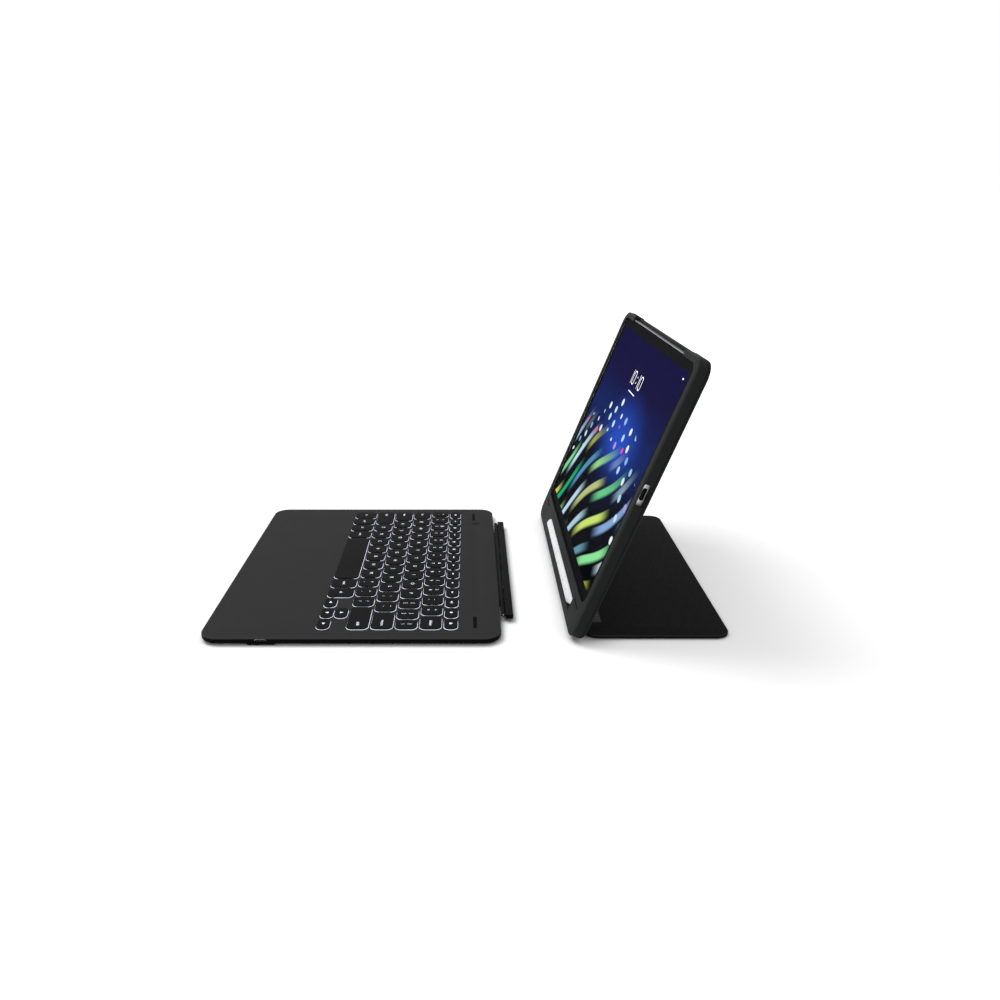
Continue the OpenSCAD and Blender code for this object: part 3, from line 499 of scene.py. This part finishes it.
def text_mesh(text, size, side=0):
    """Flat solid letters about the origin; side is -1 for left, 0 for middle and 1 for right."""
    curve = bpy.data.curves.new("letters", "FONT")
    curve.body = text
    curve.size = size
    curve.extrude = INK / 2
    curve.resolution_u = 3
    curve.align_x = {-1: "LEFT", 0: "CENTER", 1: "RIGHT"}[side]
    curve.align_y = "CENTER"
    holder = bpy.data.objects.new("letters", curve)
    bpy.context.scene.collection.objects.link(holder)
    bpy.context.view_layer.update()
    mesh = bpy.data.meshes.new_from_object(holder.evaluated_get(bpy.context.evaluated_depsgraph_get()))
    bpy.data.objects.remove(holder)
    bpy.data.curves.remove(curve)
    return mesh


def add_text(bm, text, size, at, side=0):
    """Adds letters to a bmesh at a place."""
    mesh = text_mesh(text, size, side)
    mesh.transform(Matrix.Translation(at))
    bm.from_mesh(mesh)
    bpy.data.meshes.remove(mesh)


def disc_points(x, y, radius, steps=16):
    """Points round a circle."""
    return [(x + radius * math.cos(2 * math.pi * i / steps), y + radius * math.sin(2 * math.pi * i / steps))
            for i in range(steps)]


def triangle_points(x, y, size, degrees):
    """An arrow head that points along an angle."""
    angles = [math.radians(degrees + a) for a in (0, 130, 230)]
    return [(x + size * math.cos(a), y + size * math.sin(a)) for a in angles]


def bar_points(x, y, w, h):
    """A small upright bar."""
    return [(x - w / 2, y - h / 2), (x + w / 2, y - h / 2), (x + w / 2, y + h / 2), (x - w / 2, y + h / 2)]


def function_icon(index, x, y):
    """Outlines of the plain icon on a key of the function row."""
    u = 1 * MM
    sun = [disc_points(x + 1.5 * u * math.cos(a), y + 1.5 * u * math.sin(a), 0.22 * u, 6)
           for a in (math.pi / 4 * k for k in range(8))]
    return [
        [bar_points(x, y, 1.8 * u, 1.8 * u)],
        [disc_points(x, y, 0.6 * u)] + sun[::2],
        [disc_points(x, y, 0.8 * u)] + sun,
        [bar_points(x - 0.9 * u, y, 0.9 * u, 0.9 * u), bar_points(x + 0.9 * u, y, 0.9 * u, 0.9 * u)],
        [disc_points(x, y, 0.9 * u), bar_points(x, y - 1.6 * u, 0.5 * u, 0.9 * u)],
        [bar_points(x, y + k * 0.8 * u, 2.6 * u, 0.45 * u) for k in (-1, 0, 1)],
        [triangle_points(x - 0.7 * u, y, 0.9 * u, 180), triangle_points(x + 0.9 * u, y, 0.9 * u, 180)],
        [triangle_points(x, y, 1.1 * u, 0)],
        [triangle_points(x - 0.9 * u, y, 0.9 * u, 0), triangle_points(x + 0.7 * u, y, 0.9 * u, 0)],
        [triangle_points(x, y, 1.1 * u, 180)],
        [triangle_points(x - 0.4 * u, y, 1.0 * u, 180), bar_points(x + 1.1 * u, y, 0.4 * u, 1.2 * u)],
        [triangle_points(x - 0.8 * u, y, 1.0 * u, 180), bar_points(x + 0.7 * u, y, 0.4 * u, 1.2 * u),
         bar_points(x + 1.6 * u, y, 0.4 * u, 2.0 * u)],
        [disc_points(x, y, 1.0 * u)],
        [bar_points(x, y - 0.3 * u, 1.9 * u, 1.4 * u), bar_points(x, y + 0.8 * u, 1.0 * u, 0.5 * u)],
    ][index]


class CASE_OT_keyboard_shells(bpy.types.Operator):
    """Finish the keyboard's two shells."""
    bl_idname = "keyboard_case.shells"
    bl_label = "Keyboard Shells"

    def execute(self, context):
        finish = context.scene.keyboard_finish
        dress("keyboard_deck", soft_touch("deck_soft_touch", finish.deck))
        # the lower shell's near black is partly painted shade for the undercut below the edge
        dress("keyboard_base", moulded("base_moulded", finish.base))
        return {"FINISHED"}


class CASE_OT_keyboard_trim(bpy.types.Operator):
    """Finish the feet, bumpers, screws and charging port of the keyboard."""
    bl_idname = "keyboard_case.trim"
    bl_label = "Keyboard Trim"

    def execute(self, context):
        feet = rubber("foot_rubber", srgb("161616"), 0.8)
        for node in ("keyboard_feet", "plate_pads"):
            dress(node, feet)
        dress("deck_bumpers", rubber("bumper_rubber", srgb("060606"), 0.85))
        dress("base_screws", brushed("black_screw_steel", srgb("4a4a4d"), 0.4))
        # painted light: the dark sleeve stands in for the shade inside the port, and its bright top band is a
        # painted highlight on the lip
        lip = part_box("charging_port")[1].z - context.scene.keyboard_finish.port_lip_highlight
        dress("charging_port", blasted("port_nickel_painted_light", srgb("2a2a2c"), ((0, 0, 1), lip, srgb("eceef2"))))
        dress("tablet_port", blasted("port_dark_steel", srgb("26272a")))
        return {"FINISHED"}


class CASE_OT_keyboard_inside(bpy.types.Operator):
    """Finish the layers inside the keyboard."""
    bl_idname = "keyboard_case.inside"
    bl_label = "Keyboard Inside"

    def execute(self, context):
        finish = context.scene.keyboard_finish
        dress("light_guide", lit("guide_acrylic", finish.light, 0.2))
        dress("dome_sheet", rubber("dome_silicone", srgb("c9cacd"), 0.5))
        board = Shader("board_varnish")
        traces = board.cells(1.2 * MM, metric="MANHATTAN")["Distance"]
        board.feed("Base Color", board.ramp(traces, (0.35, srgb("0f3b26")), (0.45, srgb("1c5c3c"))))
        dress("circuit_board", board.set(Roughness=0.3).material)
        dress("keyboard_battery", brushed("battery_foil", srgb("c3c5ca"), 0.4, along=(1, 0.1, 1)))
        return {"FINISHED"}


class CASE_OT_key_caps(bpy.types.Operator):
    """Finish the key caps."""
    bl_idname = "keyboard_case.key_caps"
    bl_label = "Key Caps"

    def execute(self, context):
        finish = context.scene.keyboard_finish
        cap = soft_touch("key_cap_plastic", finish.cap, 0.5, 0.15 * MM)
        for node in KEY_NODES:
            dress(node, cap)
        return {"FINISHED"}


class CASE_OT_key_light(bpy.types.Operator):
    """Make the lit skirt round the foot of every key, one piece for each body of keys."""
    bl_idname = "keyboard_case.key_light"
    bl_label = "Key Light"

    def execute(self, context):
        finish = context.scene.keyboard_finish
        deck_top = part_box("keyboard_deck")[1].z
        inner, outer = finish.skirt_gap, finish.skirt_gap + finish.skirt_wall
        least_straight = 0.3 * MM
        glow = lit("key_skirt_light", finish.light, finish.light_strength)
        for node in KEY_NODES:
            bm = bmesh.new()
            for low, high in islands(node):
                radius = min(finish.corner, (high.y - low.y) / 2 - least_straight)
                ring_wall(bm, outline(low, high, radius, inner), outline(low, high, radius, outer),
                          deck_top - finish.skirt_sink, deck_top + finish.skirt)
            mesh_piece("skirts_" + node, finished_mesh(bm, "skirts_" + node), glow, BODY_OF[node])
        return {"FINISHED"}


class CASE_OT_key_legends(bpy.types.Operator):
    """Make the lit legends, one piece for each body of keys."""
    bl_idname = "keyboard_case.key_legends"
    bl_label = "Key Legends"

    def execute(self, context):
        finish = context.scene.keyboard_finish
        ink = lit("legend_light", finish.legend, 0.9)
        for node in KEY_NODES:
            if node == "space_bar":
                continue
            bm = bmesh.new()
            for index, (low, high) in enumerate(islands(node)):
                self.draw_key(bm, finish, node, index, low, high)
            mesh_piece("legends_" + node, finished_mesh(bm, "legends_" + node), ink, BODY_OF[node])
        return {"FINISHED"}

    def draw_key(self, bm, finish, node, index, low, high):
        """Draws one key's legend."""
        top = high.z + LEGEND_LIFT
        middle = Vector(((low.x + high.x) / 2, (low.y + high.y) / 2, top))
        if node in WORDS:
            word, side = WORDS[node]
            edge = {-1: low.x + finish.word_margin, 0: middle.x, 1: high.x - finish.word_margin}[side]
            add_text(bm, word, finish.word_size, Vector((edge, middle.y, top)), side)
        elif node in ARROWS:
            arrow = triangle_points(middle.x, middle.y, finish.arrow_size, ARROWS[node])
            prism(bm, arrow, high.z, top)
        elif node == "function_keys":
            for points in function_icon(index, middle.x, middle.y):
                prism(bm, points, high.z, top)
        else:
            legend = LEGENDS[node][index]
            if isinstance(legend, str):
                add_text(bm, legend, finish.legend_size, middle)
            else:
                size = finish.legend_size * finish.pair_scale
                for text, shift in zip(legend, (finish.pair_shift, -finish.pair_shift)):
                    add_text(bm, text, size, middle + Vector((0, shift, 0)))


class CASE_OT_fold_hinge(bpy.types.Operator):
    """Finish the hinge bar, its knuckles, pins and magnets."""
    bl_idname = "keyboard_case.fold_hinge"
    bl_label = "Fold Hinge"

    def execute(self, context):
        dress("hinge_bar", moulded("bar_moulded", srgb("101011"), 0.5, 0.25 * MM))
        dress("fold_knuckle", moulded("knuckle_moulded", srgb("141415"), 0.5, 0.25 * MM))
        pin = brushed("pin_steel", srgb("a8aaae"), 0.22, along=(0.05, 1, 1))
        for node in ("fold_hinge_pins", "stand_hinge_pins"):
            dress(node, pin)
        nickel = blasted("magnet_nickel", srgb("8f9196"))
        for node in ("bar_magnets", "case_magnets"):
            dress(node, nickel)
        return {"FINISHED"}


# ---- Case and stand ----

class CASE_OT_case_shells(bpy.types.Operator):
    """Finish the rubber frame, the back shell, the lining and the button covers."""
    bl_idname = "keyboard_case.case_shells"
    bl_label = "Case Shells"

    def execute(self, context):
        finish = context.scene.case_finish
        dress("case_frame", rubber("frame_rubber", finish.rubber, 0.66, OUT_OF_CASE))
        dress("case_back_shell", moulded("shell_moulded", finish.shell, 0.6, 0.45 * MM, face=OUT_OF_CASE))
        lining = Shader("lining_microfibre")
        nap = lining.noise(0.2 * MM, detail=3)
        tone = lining.ramp(nap, (0.3, tint(finish.lining, 0.8)), (0.7, tint(finish.lining, 1.2)))
        lining.feed("Base Color", tone)
        lining.bump(nap, 0.05 * MM, 0.6)
        dress("case_lining", lining.set(Roughness=0.95, Sheen_Weight=0.4).material)
        cover = rubber("cover_rubber", tint(finish.rubber, 0.85), 0.6, OUT_OF_CASE)
        for node in ("volume_up_cover", "volume_down_cover", "power_cover"):
            dress(node, cover)
        return {"FINISHED"}


class CASE_OT_stand(bpy.types.Operator):
    """Finish the stand plate and its hinges."""
    bl_idname = "keyboard_case.stand"
    bl_label = "Stand"

    def execute(self, context):
        finish = context.scene.case_finish
        dress("stand_plate", grained_skin("plate_skin", finish.plate))
        leaf = moulded("leaf_black_coat", srgb("101011"), 0.4, 0.2 * MM, shine=0.12)
        for node in ("case_hinge_leaves", "plate_hinge_leaves"):
            dress(node, leaf)
        screw = brushed("screw_steel", tint(finish.steel, 0.8), 0.3)
        for node in ("case_hinge_screws", "plate_hinge_screws"):
            dress(node, screw)
        return {"FINISHED"}


# ---- Tablet and stylus ----

def picture_plane(shader, origin):
    """Millimetres to the right and up on the tablet's front, from the picture's middle."""
    coordinates = shader.tree.nodes.new("ShaderNodeTexCoord")
    shifted = shader.tree.nodes.new("ShaderNodeVectorMath")
    shifted.operation = "SUBTRACT"
    shader.link(coordinates.outputs["Object"], shifted.inputs[0])
    shifted.inputs[1].default_value = origin
    return [shader.dot(shifted.outputs[0], direction / MM) for direction in (Vector((1, 0, 0)), UP_CASE)]


def combine(shader, x, y):
    """A flat vector from two numbers."""
    node = shader.tree.nodes.new("ShaderNodeCombineXYZ")
    shader.link(x, node.inputs[0])
    shader.link(y, node.inputs[1])
    return node.outputs[0]


def length_of(shader, x, y):
    """Distance from the origin."""
    squares = [shader.math("MULTIPLY", side, side) for side in (x, y)]
    return shader.math("SQRT", shader.math("ADD", *squares))


def night_ground(s, finish, u, v, half_h):
    """Dark below and night blue above, with a bright blue haze right of the middle."""
    haze_u, haze_reach, flatness = 25.0, 80.0, 1.5
    ground = s.ramp(s.spread(v, -half_h, half_h), (0.0, srgb("05060f")), (0.4, tint(finish.day, 0.12)),
                    (0.65, tint(finish.day, 0.2)), (0.9, finish.night), (1.0, finish.night))
    far = length_of(s, s.math("SUBTRACT", u, haze_u), s.math("MULTIPLY", v, flatness))
    return s.blend(s.spread(far, haze_reach, 0.0), ground, finish.day)


def add_ribbons(s, ground, along, across, v):
    """Ribbons that sway up to the right from the lower edge; each has its own colour and length."""
    ribbon_width, sway_depth, sway_length = 11.0, 7.0, 27.0
    wave_length, wave_lag = 21.0, 2.4
    fade_start, fade_end = 12.0, -30.0
    sway = s.math("MULTIPLY", s.math("SINE", s.math("DIVIDE", along, sway_length)), sway_depth)
    step = s.math("DIVIDE", s.math("ADD", across, sway), ribbon_width)
    order, stripe = s.math("FLOOR", step), s.math("FRACT", step)
    band = s.math("MULTIPLY", s.spread(stripe, 0.04, 0.4), s.spread(stripe, 0.96, 0.8))
    lag = s.math("MULTIPLY", order, wave_lag)
    wave = s.math("SINE", s.math("ADD", s.math("DIVIDE", along, wave_length), lag))
    band = s.math("MULTIPLY", band, s.spread(wave, -0.5, 0.75))
    low = s.spread(v, fade_start, fade_end)
    ground = s.blend(s.math("MULTIPLY", low, 0.9), ground, srgb("030408"))
    hue = s.math("FRACT", s.math("MULTIPLY", order, 0.381))
    ribbon = s.ramp(hue, (0.0, srgb("1fa878")), (0.2, srgb("8fe89c")), (0.4, srgb("dfe04a")),
                    (0.6, srgb("2a7fb0")), (0.8, srgb("d9f6ff")), (1.0, srgb("4f7fc8")))
    return s.blend(s.math("MULTIPLY", band, low), ground, ribbon)


def add_lights(s, picture, along, across, u, v):
    """Round lights that gather along an arch, one at most in each cell of a loose grid."""
    cell_size, smallest, largest = 15.0, 0.22, 0.36
    arch_foot, arch_height, arch_width = 10.0, 26.0, 52.0
    arch_edge, arch_core = 26.0, 6.0
    cell = s.cells(cell_size, vector=combine(s, along, across), jitter=0.35)
    chance = s.tree.nodes.new("ShaderNodeSeparateColor")
    s.link(cell["Color"], chance.inputs[0])
    size = s.spread(chance.outputs[2], 0.0, 1.0, smallest, largest)
    spot = s.spread(s.math("SUBTRACT", size, cell["Distance"]), 0.0, 0.04)
    rise = s.math("MULTIPLY", s.math("COSINE", s.math("DIVIDE", u, arch_width)), arch_height)
    arch = s.math("SUBTRACT", s.math("ADD", v, arch_foot), rise)
    density = s.spread(s.math("ABSOLUTE", arch), arch_edge, arch_core, 0.0, 0.95)
    shown = s.spread(s.math("SUBTRACT", density, chance.outputs[0]), 0.0, 0.04)
    spot_colour = s.ramp(chance.outputs[1],
                         (0.0, srgb("f4fbff")), (0.45, srgb("bfe2f4")), (0.74, srgb("7fb4e8")),
                         (0.84, srgb("ff3f9f")), (0.93, srgb("ff6fc0")), (1.0, srgb("ffa43a")))
    return s.blend(s.math("MULTIPLY", spot, shown), picture, spot_colour)


def finger_marks(s):
    """Cloudy marks of a finger's size."""
    return s.noise(35 * MM, detail=5)


def display_material(finish, origin, half_w, half_h):
    """The lit picture in its dark border with round inner corners. All its lengths are in millimetres."""
    s = Shader("display_picture")
    u, v = picture_plane(s, origin)
    slant_u, slant_v = 0.67, 0.74
    along = s.math("ADD", s.math("MULTIPLY", u, slant_u), s.math("MULTIPLY", v, slant_v))
    across = s.math("SUBTRACT", s.math("MULTIPLY", v, slant_v), s.math("MULTIPLY", u, slant_u))
    picture = night_ground(s, finish, u, v, half_h)
    picture = add_ribbons(s, picture, along, across, v)
    picture = add_lights(s, picture, along, across, u, v)

    corner, soft = 4.0, 0.05
    over_u = s.math("MAXIMUM", s.math("SUBTRACT", s.math("ABSOLUTE", u), half_w - corner), 0.0)
    over_v = s.math("MAXIMUM", s.math("SUBTRACT", s.math("ABSOLUTE", v), half_h - corner), 0.0)
    inside = s.spread(length_of(s, over_u, over_v), corner + soft, corner - soft)
    unlit, dark_panel = (0, 0, 0, 1), (0.002, 0.002, 0.003, 1)
    s.feed("Emission Color", s.blend(inside, unlit, picture))
    s.feed("Base Color", s.blend(inside, finish.border, dark_panel))
    s.set(Emission_Strength=finish.picture_strength, Roughness=0.5, Specular_IOR_Level=0.0)
    reflected = 0.006
    gloss = s.tree.nodes.new("ShaderNodeBsdfGlossy")
    s.link(s.spread(finger_marks(s), 0.35, 0.7, 0.03, 0.16), gloss.inputs["Roughness"])
    mix = s.tree.nodes.new("ShaderNodeMixShader")
    mix.inputs[0].default_value = reflected
    s.link(s.surface.outputs[0], mix.inputs[1])
    s.link(gloss.outputs[0], mix.inputs[2])
    s.link(mix.outputs[0], s.output.inputs["Surface"])
    return s.material


def glass_material():
    """Clear cover glass that finger marks dim a very little; its reflection is in the picture's material."""
    s = Shader("cover_glass")
    s.tree.nodes.remove(s.surface)
    clear = s.tree.nodes.new("ShaderNodeBsdfTransparent")
    clean, marked = (1, 1, 1, 1), (0.98, 0.98, 0.98, 1)
    s.link(s.ramp(finger_marks(s), (0.35, clean), (0.7, marked)), clear.inputs["Color"])
    s.link(clear.outputs[0], s.output.inputs["Surface"])
    return s.material


class CASE_OT_tablet(bpy.types.Operator):
    """Finish the tablet and light its picture."""
    bl_idname = "keyboard_case.tablet"
    bl_label = "Tablet"

    def execute(self, context):
        finish = context.scene.tablet_finish
        low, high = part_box("tablet_body")
        # painted shade: darker band along the top edge, dimming the edge seen in the case's notch
        top_shade_start = Vector((0, high.y, high.z)).dot(UP_CASE) - finish.top_shade_width
        dress("tablet_body", blasted("tablet_aluminium", finish.body, (UP_CASE, top_shade_start, finish.strip)))
        dress("tablet_glass", glass_material())
        low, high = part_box("tablet_glass")
        middle = (low + high) / 2
        # how far the body reaches past the glass, and the glass's thickness
        body_rim, glass_thick = 0.8 * MM, 0.5 * MM
        height = (high - low).dot(UP_CASE) - 2 * glass_thick * math.sin(LEAN) * math.cos(LEAN)
        half_w = ((high.x - low.x) / 2 + body_rim - finish.bezel) / MM
        half_h = (height / 2 + body_rim - finish.bezel) / MM
        dress("tablet_display", display_material(finish, middle, half_w, half_h))
        dress("tablet_camera", soft_touch("camera_black", srgb("101114"), 0.25))
        self.add_clock(middle, half_w, half_h)
        return {"FINISHED"}

    def add_clock(self, middle, half_w, half_h):
        """Plain slim numerals, a line under them and a small charge mark, under the glass."""
        wide, tall, stroke, ring_r = 7.5 * MM, 11 * MM, 0.75 * MM, 3.4 * MM
        row, pair, one, nought = -28 * MM, 12 * MM, -5 * MM, 1.7 * MM
        dot, dot_shift, below_glass = 1.1 * MM, 2.2 * MM, 0.22 * MM
        line_row, line_w, line_h = -38.5 * MM, 22 * MM, 0.7 * MM
        mark_inset, mark_row, mark_w, mark_h = 9 * MM, -5 * MM, 2.4 * MM, 1.1 * MM
        bars = [(0, line_row, line_w, line_h), (half_w * MM - mark_inset, mark_row, mark_w, mark_h)]
        bm = bmesh.new()
        for side in (-1, 1):
            centre = side * pair
            bars += [(centre + one, row, stroke, tall), (0, row + side * dot_shift, dot, dot)]
            low = Vector((centre + nought - wide / 2, row - tall / 2, 0))
            high = low + Vector((wide, tall, 0))
            ring_wall(bm, outline(low, high, ring_r, -stroke), outline(low, high, ring_r), -INK / 2, INK / 2)
        for bar in bars:
            prism(bm, bar_points(*bar), -INK / 2, INK / 2)
        turn = Matrix((Vector((1, 0, 0)), UP_CASE, OUT_OF_CASE)).transposed().to_4x4()
        top = middle + UP_CASE * (half_h * MM) - OUT_OF_CASE * below_glass
        bmesh.ops.transform(bm, matrix=Matrix.Translation(top) @ turn, verts=bm.verts)
        mesh_piece("clock_numerals", finished_mesh(bm, "clock_numerals"),
                   lit("numeral_light", srgb("ffffff"), 1.0), "case")


class CASE_OT_stylus(bpy.types.Operator):
    """Finish the stylus."""
    bl_idname = "keyboard_case.stylus"
    bl_label = "Stylus"

    def execute(self, context):
        finish = context.scene.tablet_finish
        for node, roughness in (("stylus_barrel", 0.3), ("stylus_tip", 0.45)):
            s = Shader(node + "_plastic")
            s.feed("Base Color", mottled(s, tint(finish.stylus, 0.97), 30 * MM, 0.015))
            wear = s.noise(12 * MM, detail=4)
            s.feed("Roughness", s.spread(wear, 0.3, 0.7, roughness - 0.05, roughness + 0.08))
            s.bump(s.noise(0.2 * MM), 0.003 * MM, 0.3)
            dress(node, s.material)
        return {"FINISHED"}


# ---- Studio ----

# Name, side in metres, power in watts, place and the point that it is aimed at
LAMPS = (
    ("soft_box_left", 1.5, 42.0, (-0.75, -1.3, 2.45), (0, 0, 0)),
    ("soft_box_front", 1.2, 1.6, (1.3, -0.1, 0.7), (0, 0.05, 0.05)),
)


def area_lamp(name, size, power, place, target):
    """A soft square lamp aimed at a point."""
    data = bpy.data.lights.new(name, "AREA")
    data.shape = "SQUARE"
    data.size = size
    data.energy = power
    lamp = bpy.data.objects.new(name, data)
    lamp.location = place
    lamp.rotation_euler = (Vector(target) - Vector(place)).to_track_quat("-Z", "Y").to_euler()
    bpy.context.scene.collection.objects.link(lamp)


class CASE_OT_stage(bpy.types.Operator):
    """Set the floor, the lights, the world and the camera."""
    bl_idname = "keyboard_case.stage"
    bl_label = "Stage"

    def execute(self, context):
        studio = context.scene.studio_setup
        self.add_floor(studio)
        self.set_world(context, studio)
        for lamp in LAMPS:
            area_lamp(*lamp)
        self.add_camera(context, studio)
        context.scene.view_settings.view_transform = "Standard"
        return {"FINISHED"}

    def add_floor(self, studio):
        """A wide plain floor that stays white in view and keeps the object's shadow; near the object ambient
        occlusion dims its glow into a painted contact shadow.
        """
        half_side, contact = 30, 0.03
        near, near_glow, away, away_glow = 0.25, 0.38, 1.6, 0.75
        bm = bmesh.new()
        bmesh.ops.create_grid(bm, x_segments=1, y_segments=1, size=half_side)
        mesh = finished_mesh(bm, "floor")
        s = Shader("floor_white")
        cloud = s.noise(0.6, detail=2)
        s.feed("Base Color", s.ramp(cloud, (0.3, tint(studio.floor, 0.985)), (0.7, studio.floor)))
        s.set(Roughness=1.0, Specular_IOR_Level=0.0)
        rays = s.tree.nodes.new("ShaderNodeLightPath")
        shine = s.tree.nodes.new("ShaderNodeEmission")
        total = s.tree.nodes.new("ShaderNodeAddShader")
        seen = s.math("MAXIMUM", rays.outputs["Is Camera Ray"], rays.outputs["Is Glossy Ray"])
        seen = s.math("MAXIMUM", seen, rays.outputs["Is Transmission Ray"])
        far = s.tree.nodes.new("ShaderNodeVectorMath")
        far.operation = "LENGTH"
        s.link(s.place(), far.inputs[0])
        # painted shadow: ambient occlusion dims the floor's glow where the object stands close by
        contact_occlusion = s.tree.nodes.new("ShaderNodeAmbientOcclusion")
        contact_occlusion.inputs["Distance"].default_value = contact
        painted_contact_shade = s.spread(contact_occlusion.outputs["AO"], 0.4, 1.0)
        glow = s.spread(far.outputs["Value"], near, away, near_glow, away_glow)
        bright = s.math("MULTIPLY", painted_contact_shade, glow)
        s.link(s.math("MULTIPLY", seen, bright), shine.inputs["Strength"])
        s.link(s.surface.outputs[0], total.inputs[0])
        s.link(shine.outputs[0], total.inputs[1])
        s.link(total.outputs[0], s.output.inputs["Surface"])
        mesh.materials.append(s.material)
        floor = bpy.data.objects.new("floor", mesh)
        bpy.context.scene.collection.objects.link(floor)

    def set_world(self, context, studio):
        """White where it is seen, and an even light everywhere else."""
        world = bpy.data.worlds.new("studio")
        context.scene.world = world
        world.use_nodes = True
        tree = world.node_tree
        tree.nodes.clear()
        out = tree.nodes.new("ShaderNodeOutputWorld")
        background = tree.nodes.new("ShaderNodeBackground")
        rays = tree.nodes.new("ShaderNodeLightPath")
        strength = tree.nodes.new("ShaderNodeMix")
        background.inputs["Color"].default_value = (1, 1, 1, 1)
        strength.inputs[2].default_value = studio.world
        strength.inputs[3].default_value = 1.0
        seen = rays.outputs["Is Camera Ray"]
        for ray in ("Is Glossy Ray", "Is Transmission Ray"):
            either = tree.nodes.new("ShaderNodeMath")
            either.operation = "MAXIMUM"
            tree.links.new(seen, either.inputs[0])
            tree.links.new(rays.outputs[ray], either.inputs[1])
            seen = either.outputs[0]
        tree.links.new(seen, strength.inputs[0])
        tree.links.new(strength.outputs[0], background.inputs["Strength"])
        tree.links.new(background.outputs[0], out.inputs["Surface"])

    def add_camera(self, context, studio):
        """The camera stands on the right and looks across the keyboard."""
        data = bpy.data.cameras.new("camera")
        data.sensor_width = 36
        data.lens = studio.focal
        data.shift_x, data.shift_y = studio.shift_x, studio.shift_y
        data.clip_start, data.clip_end = 0.01, 100
        camera = bpy.data.objects.new("camera", data)
        down, level = math.sin(studio.pitch), math.cos(studio.pitch)
        axes = Matrix(((0, 1, 0), (-down, 0, level), (level, 0, down))).transposed()
        place = Vector((studio.camera_x, studio.camera_y, studio.camera_z))
        camera.matrix_world = Matrix.Translation(place) @ axes.to_4x4()
        context.scene.collection.objects.link(camera)
        context.scene.camera = camera


OPERATORS = (
    CASE_OT_stage, CASE_OT_keyboard_shells, CASE_OT_keyboard_trim, CASE_OT_keyboard_inside, CASE_OT_key_caps,
    CASE_OT_key_light, CASE_OT_key_legends, CASE_OT_fold_hinge, CASE_OT_case_shells, CASE_OT_stand,
    CASE_OT_tablet, CASE_OT_stylus,
)


class CASE_PT_panel(bpy.types.Panel):
    """Lists the steps that dress the keyboard case."""
    bl_label = "Keyboard Case"
    bl_idname = "CASE_PT_panel"
    bl_space_type = "VIEW_3D"
    bl_region_type = "UI"
    bl_category = "Keyboard Case"

    def draw(self, context):
        for operator in OPERATORS:
            self.layout.operator(operator.bl_idname)
        for name, settings in SETTINGS.items():
            box = self.layout.box()
            for field in settings.__annotations__:
                box.prop(getattr(context.scene, name), field)


def register():
    """Registers the settings, the operators and the panel."""
    for name, settings in SETTINGS.items():
        bpy.utils.register_class(settings)
        setattr(bpy.types.Scene, name, bpy.props.PointerProperty(type=settings))
    for operator in OPERATORS:
        bpy.utils.register_class(operator)
    bpy.utils.register_class(CASE_PT_panel)


def unregister():
    """Takes all of it out again."""
    bpy.utils.unregister_class(CASE_PT_panel)
    for operator in reversed(OPERATORS):
        bpy.utils.unregister_class(operator)
    for name, settings in SETTINGS.items():
        delattr(bpy.types.Scene, name)
        bpy.utils.unregister_class(settings)


def main():
    """Runs every step in order."""
    register()
    for operator in OPERATORS:
        group, name = operator.bl_idname.split(".")
        getattr(getattr(bpy.ops, group), name)()


if __name__ == "__main__":
    main()
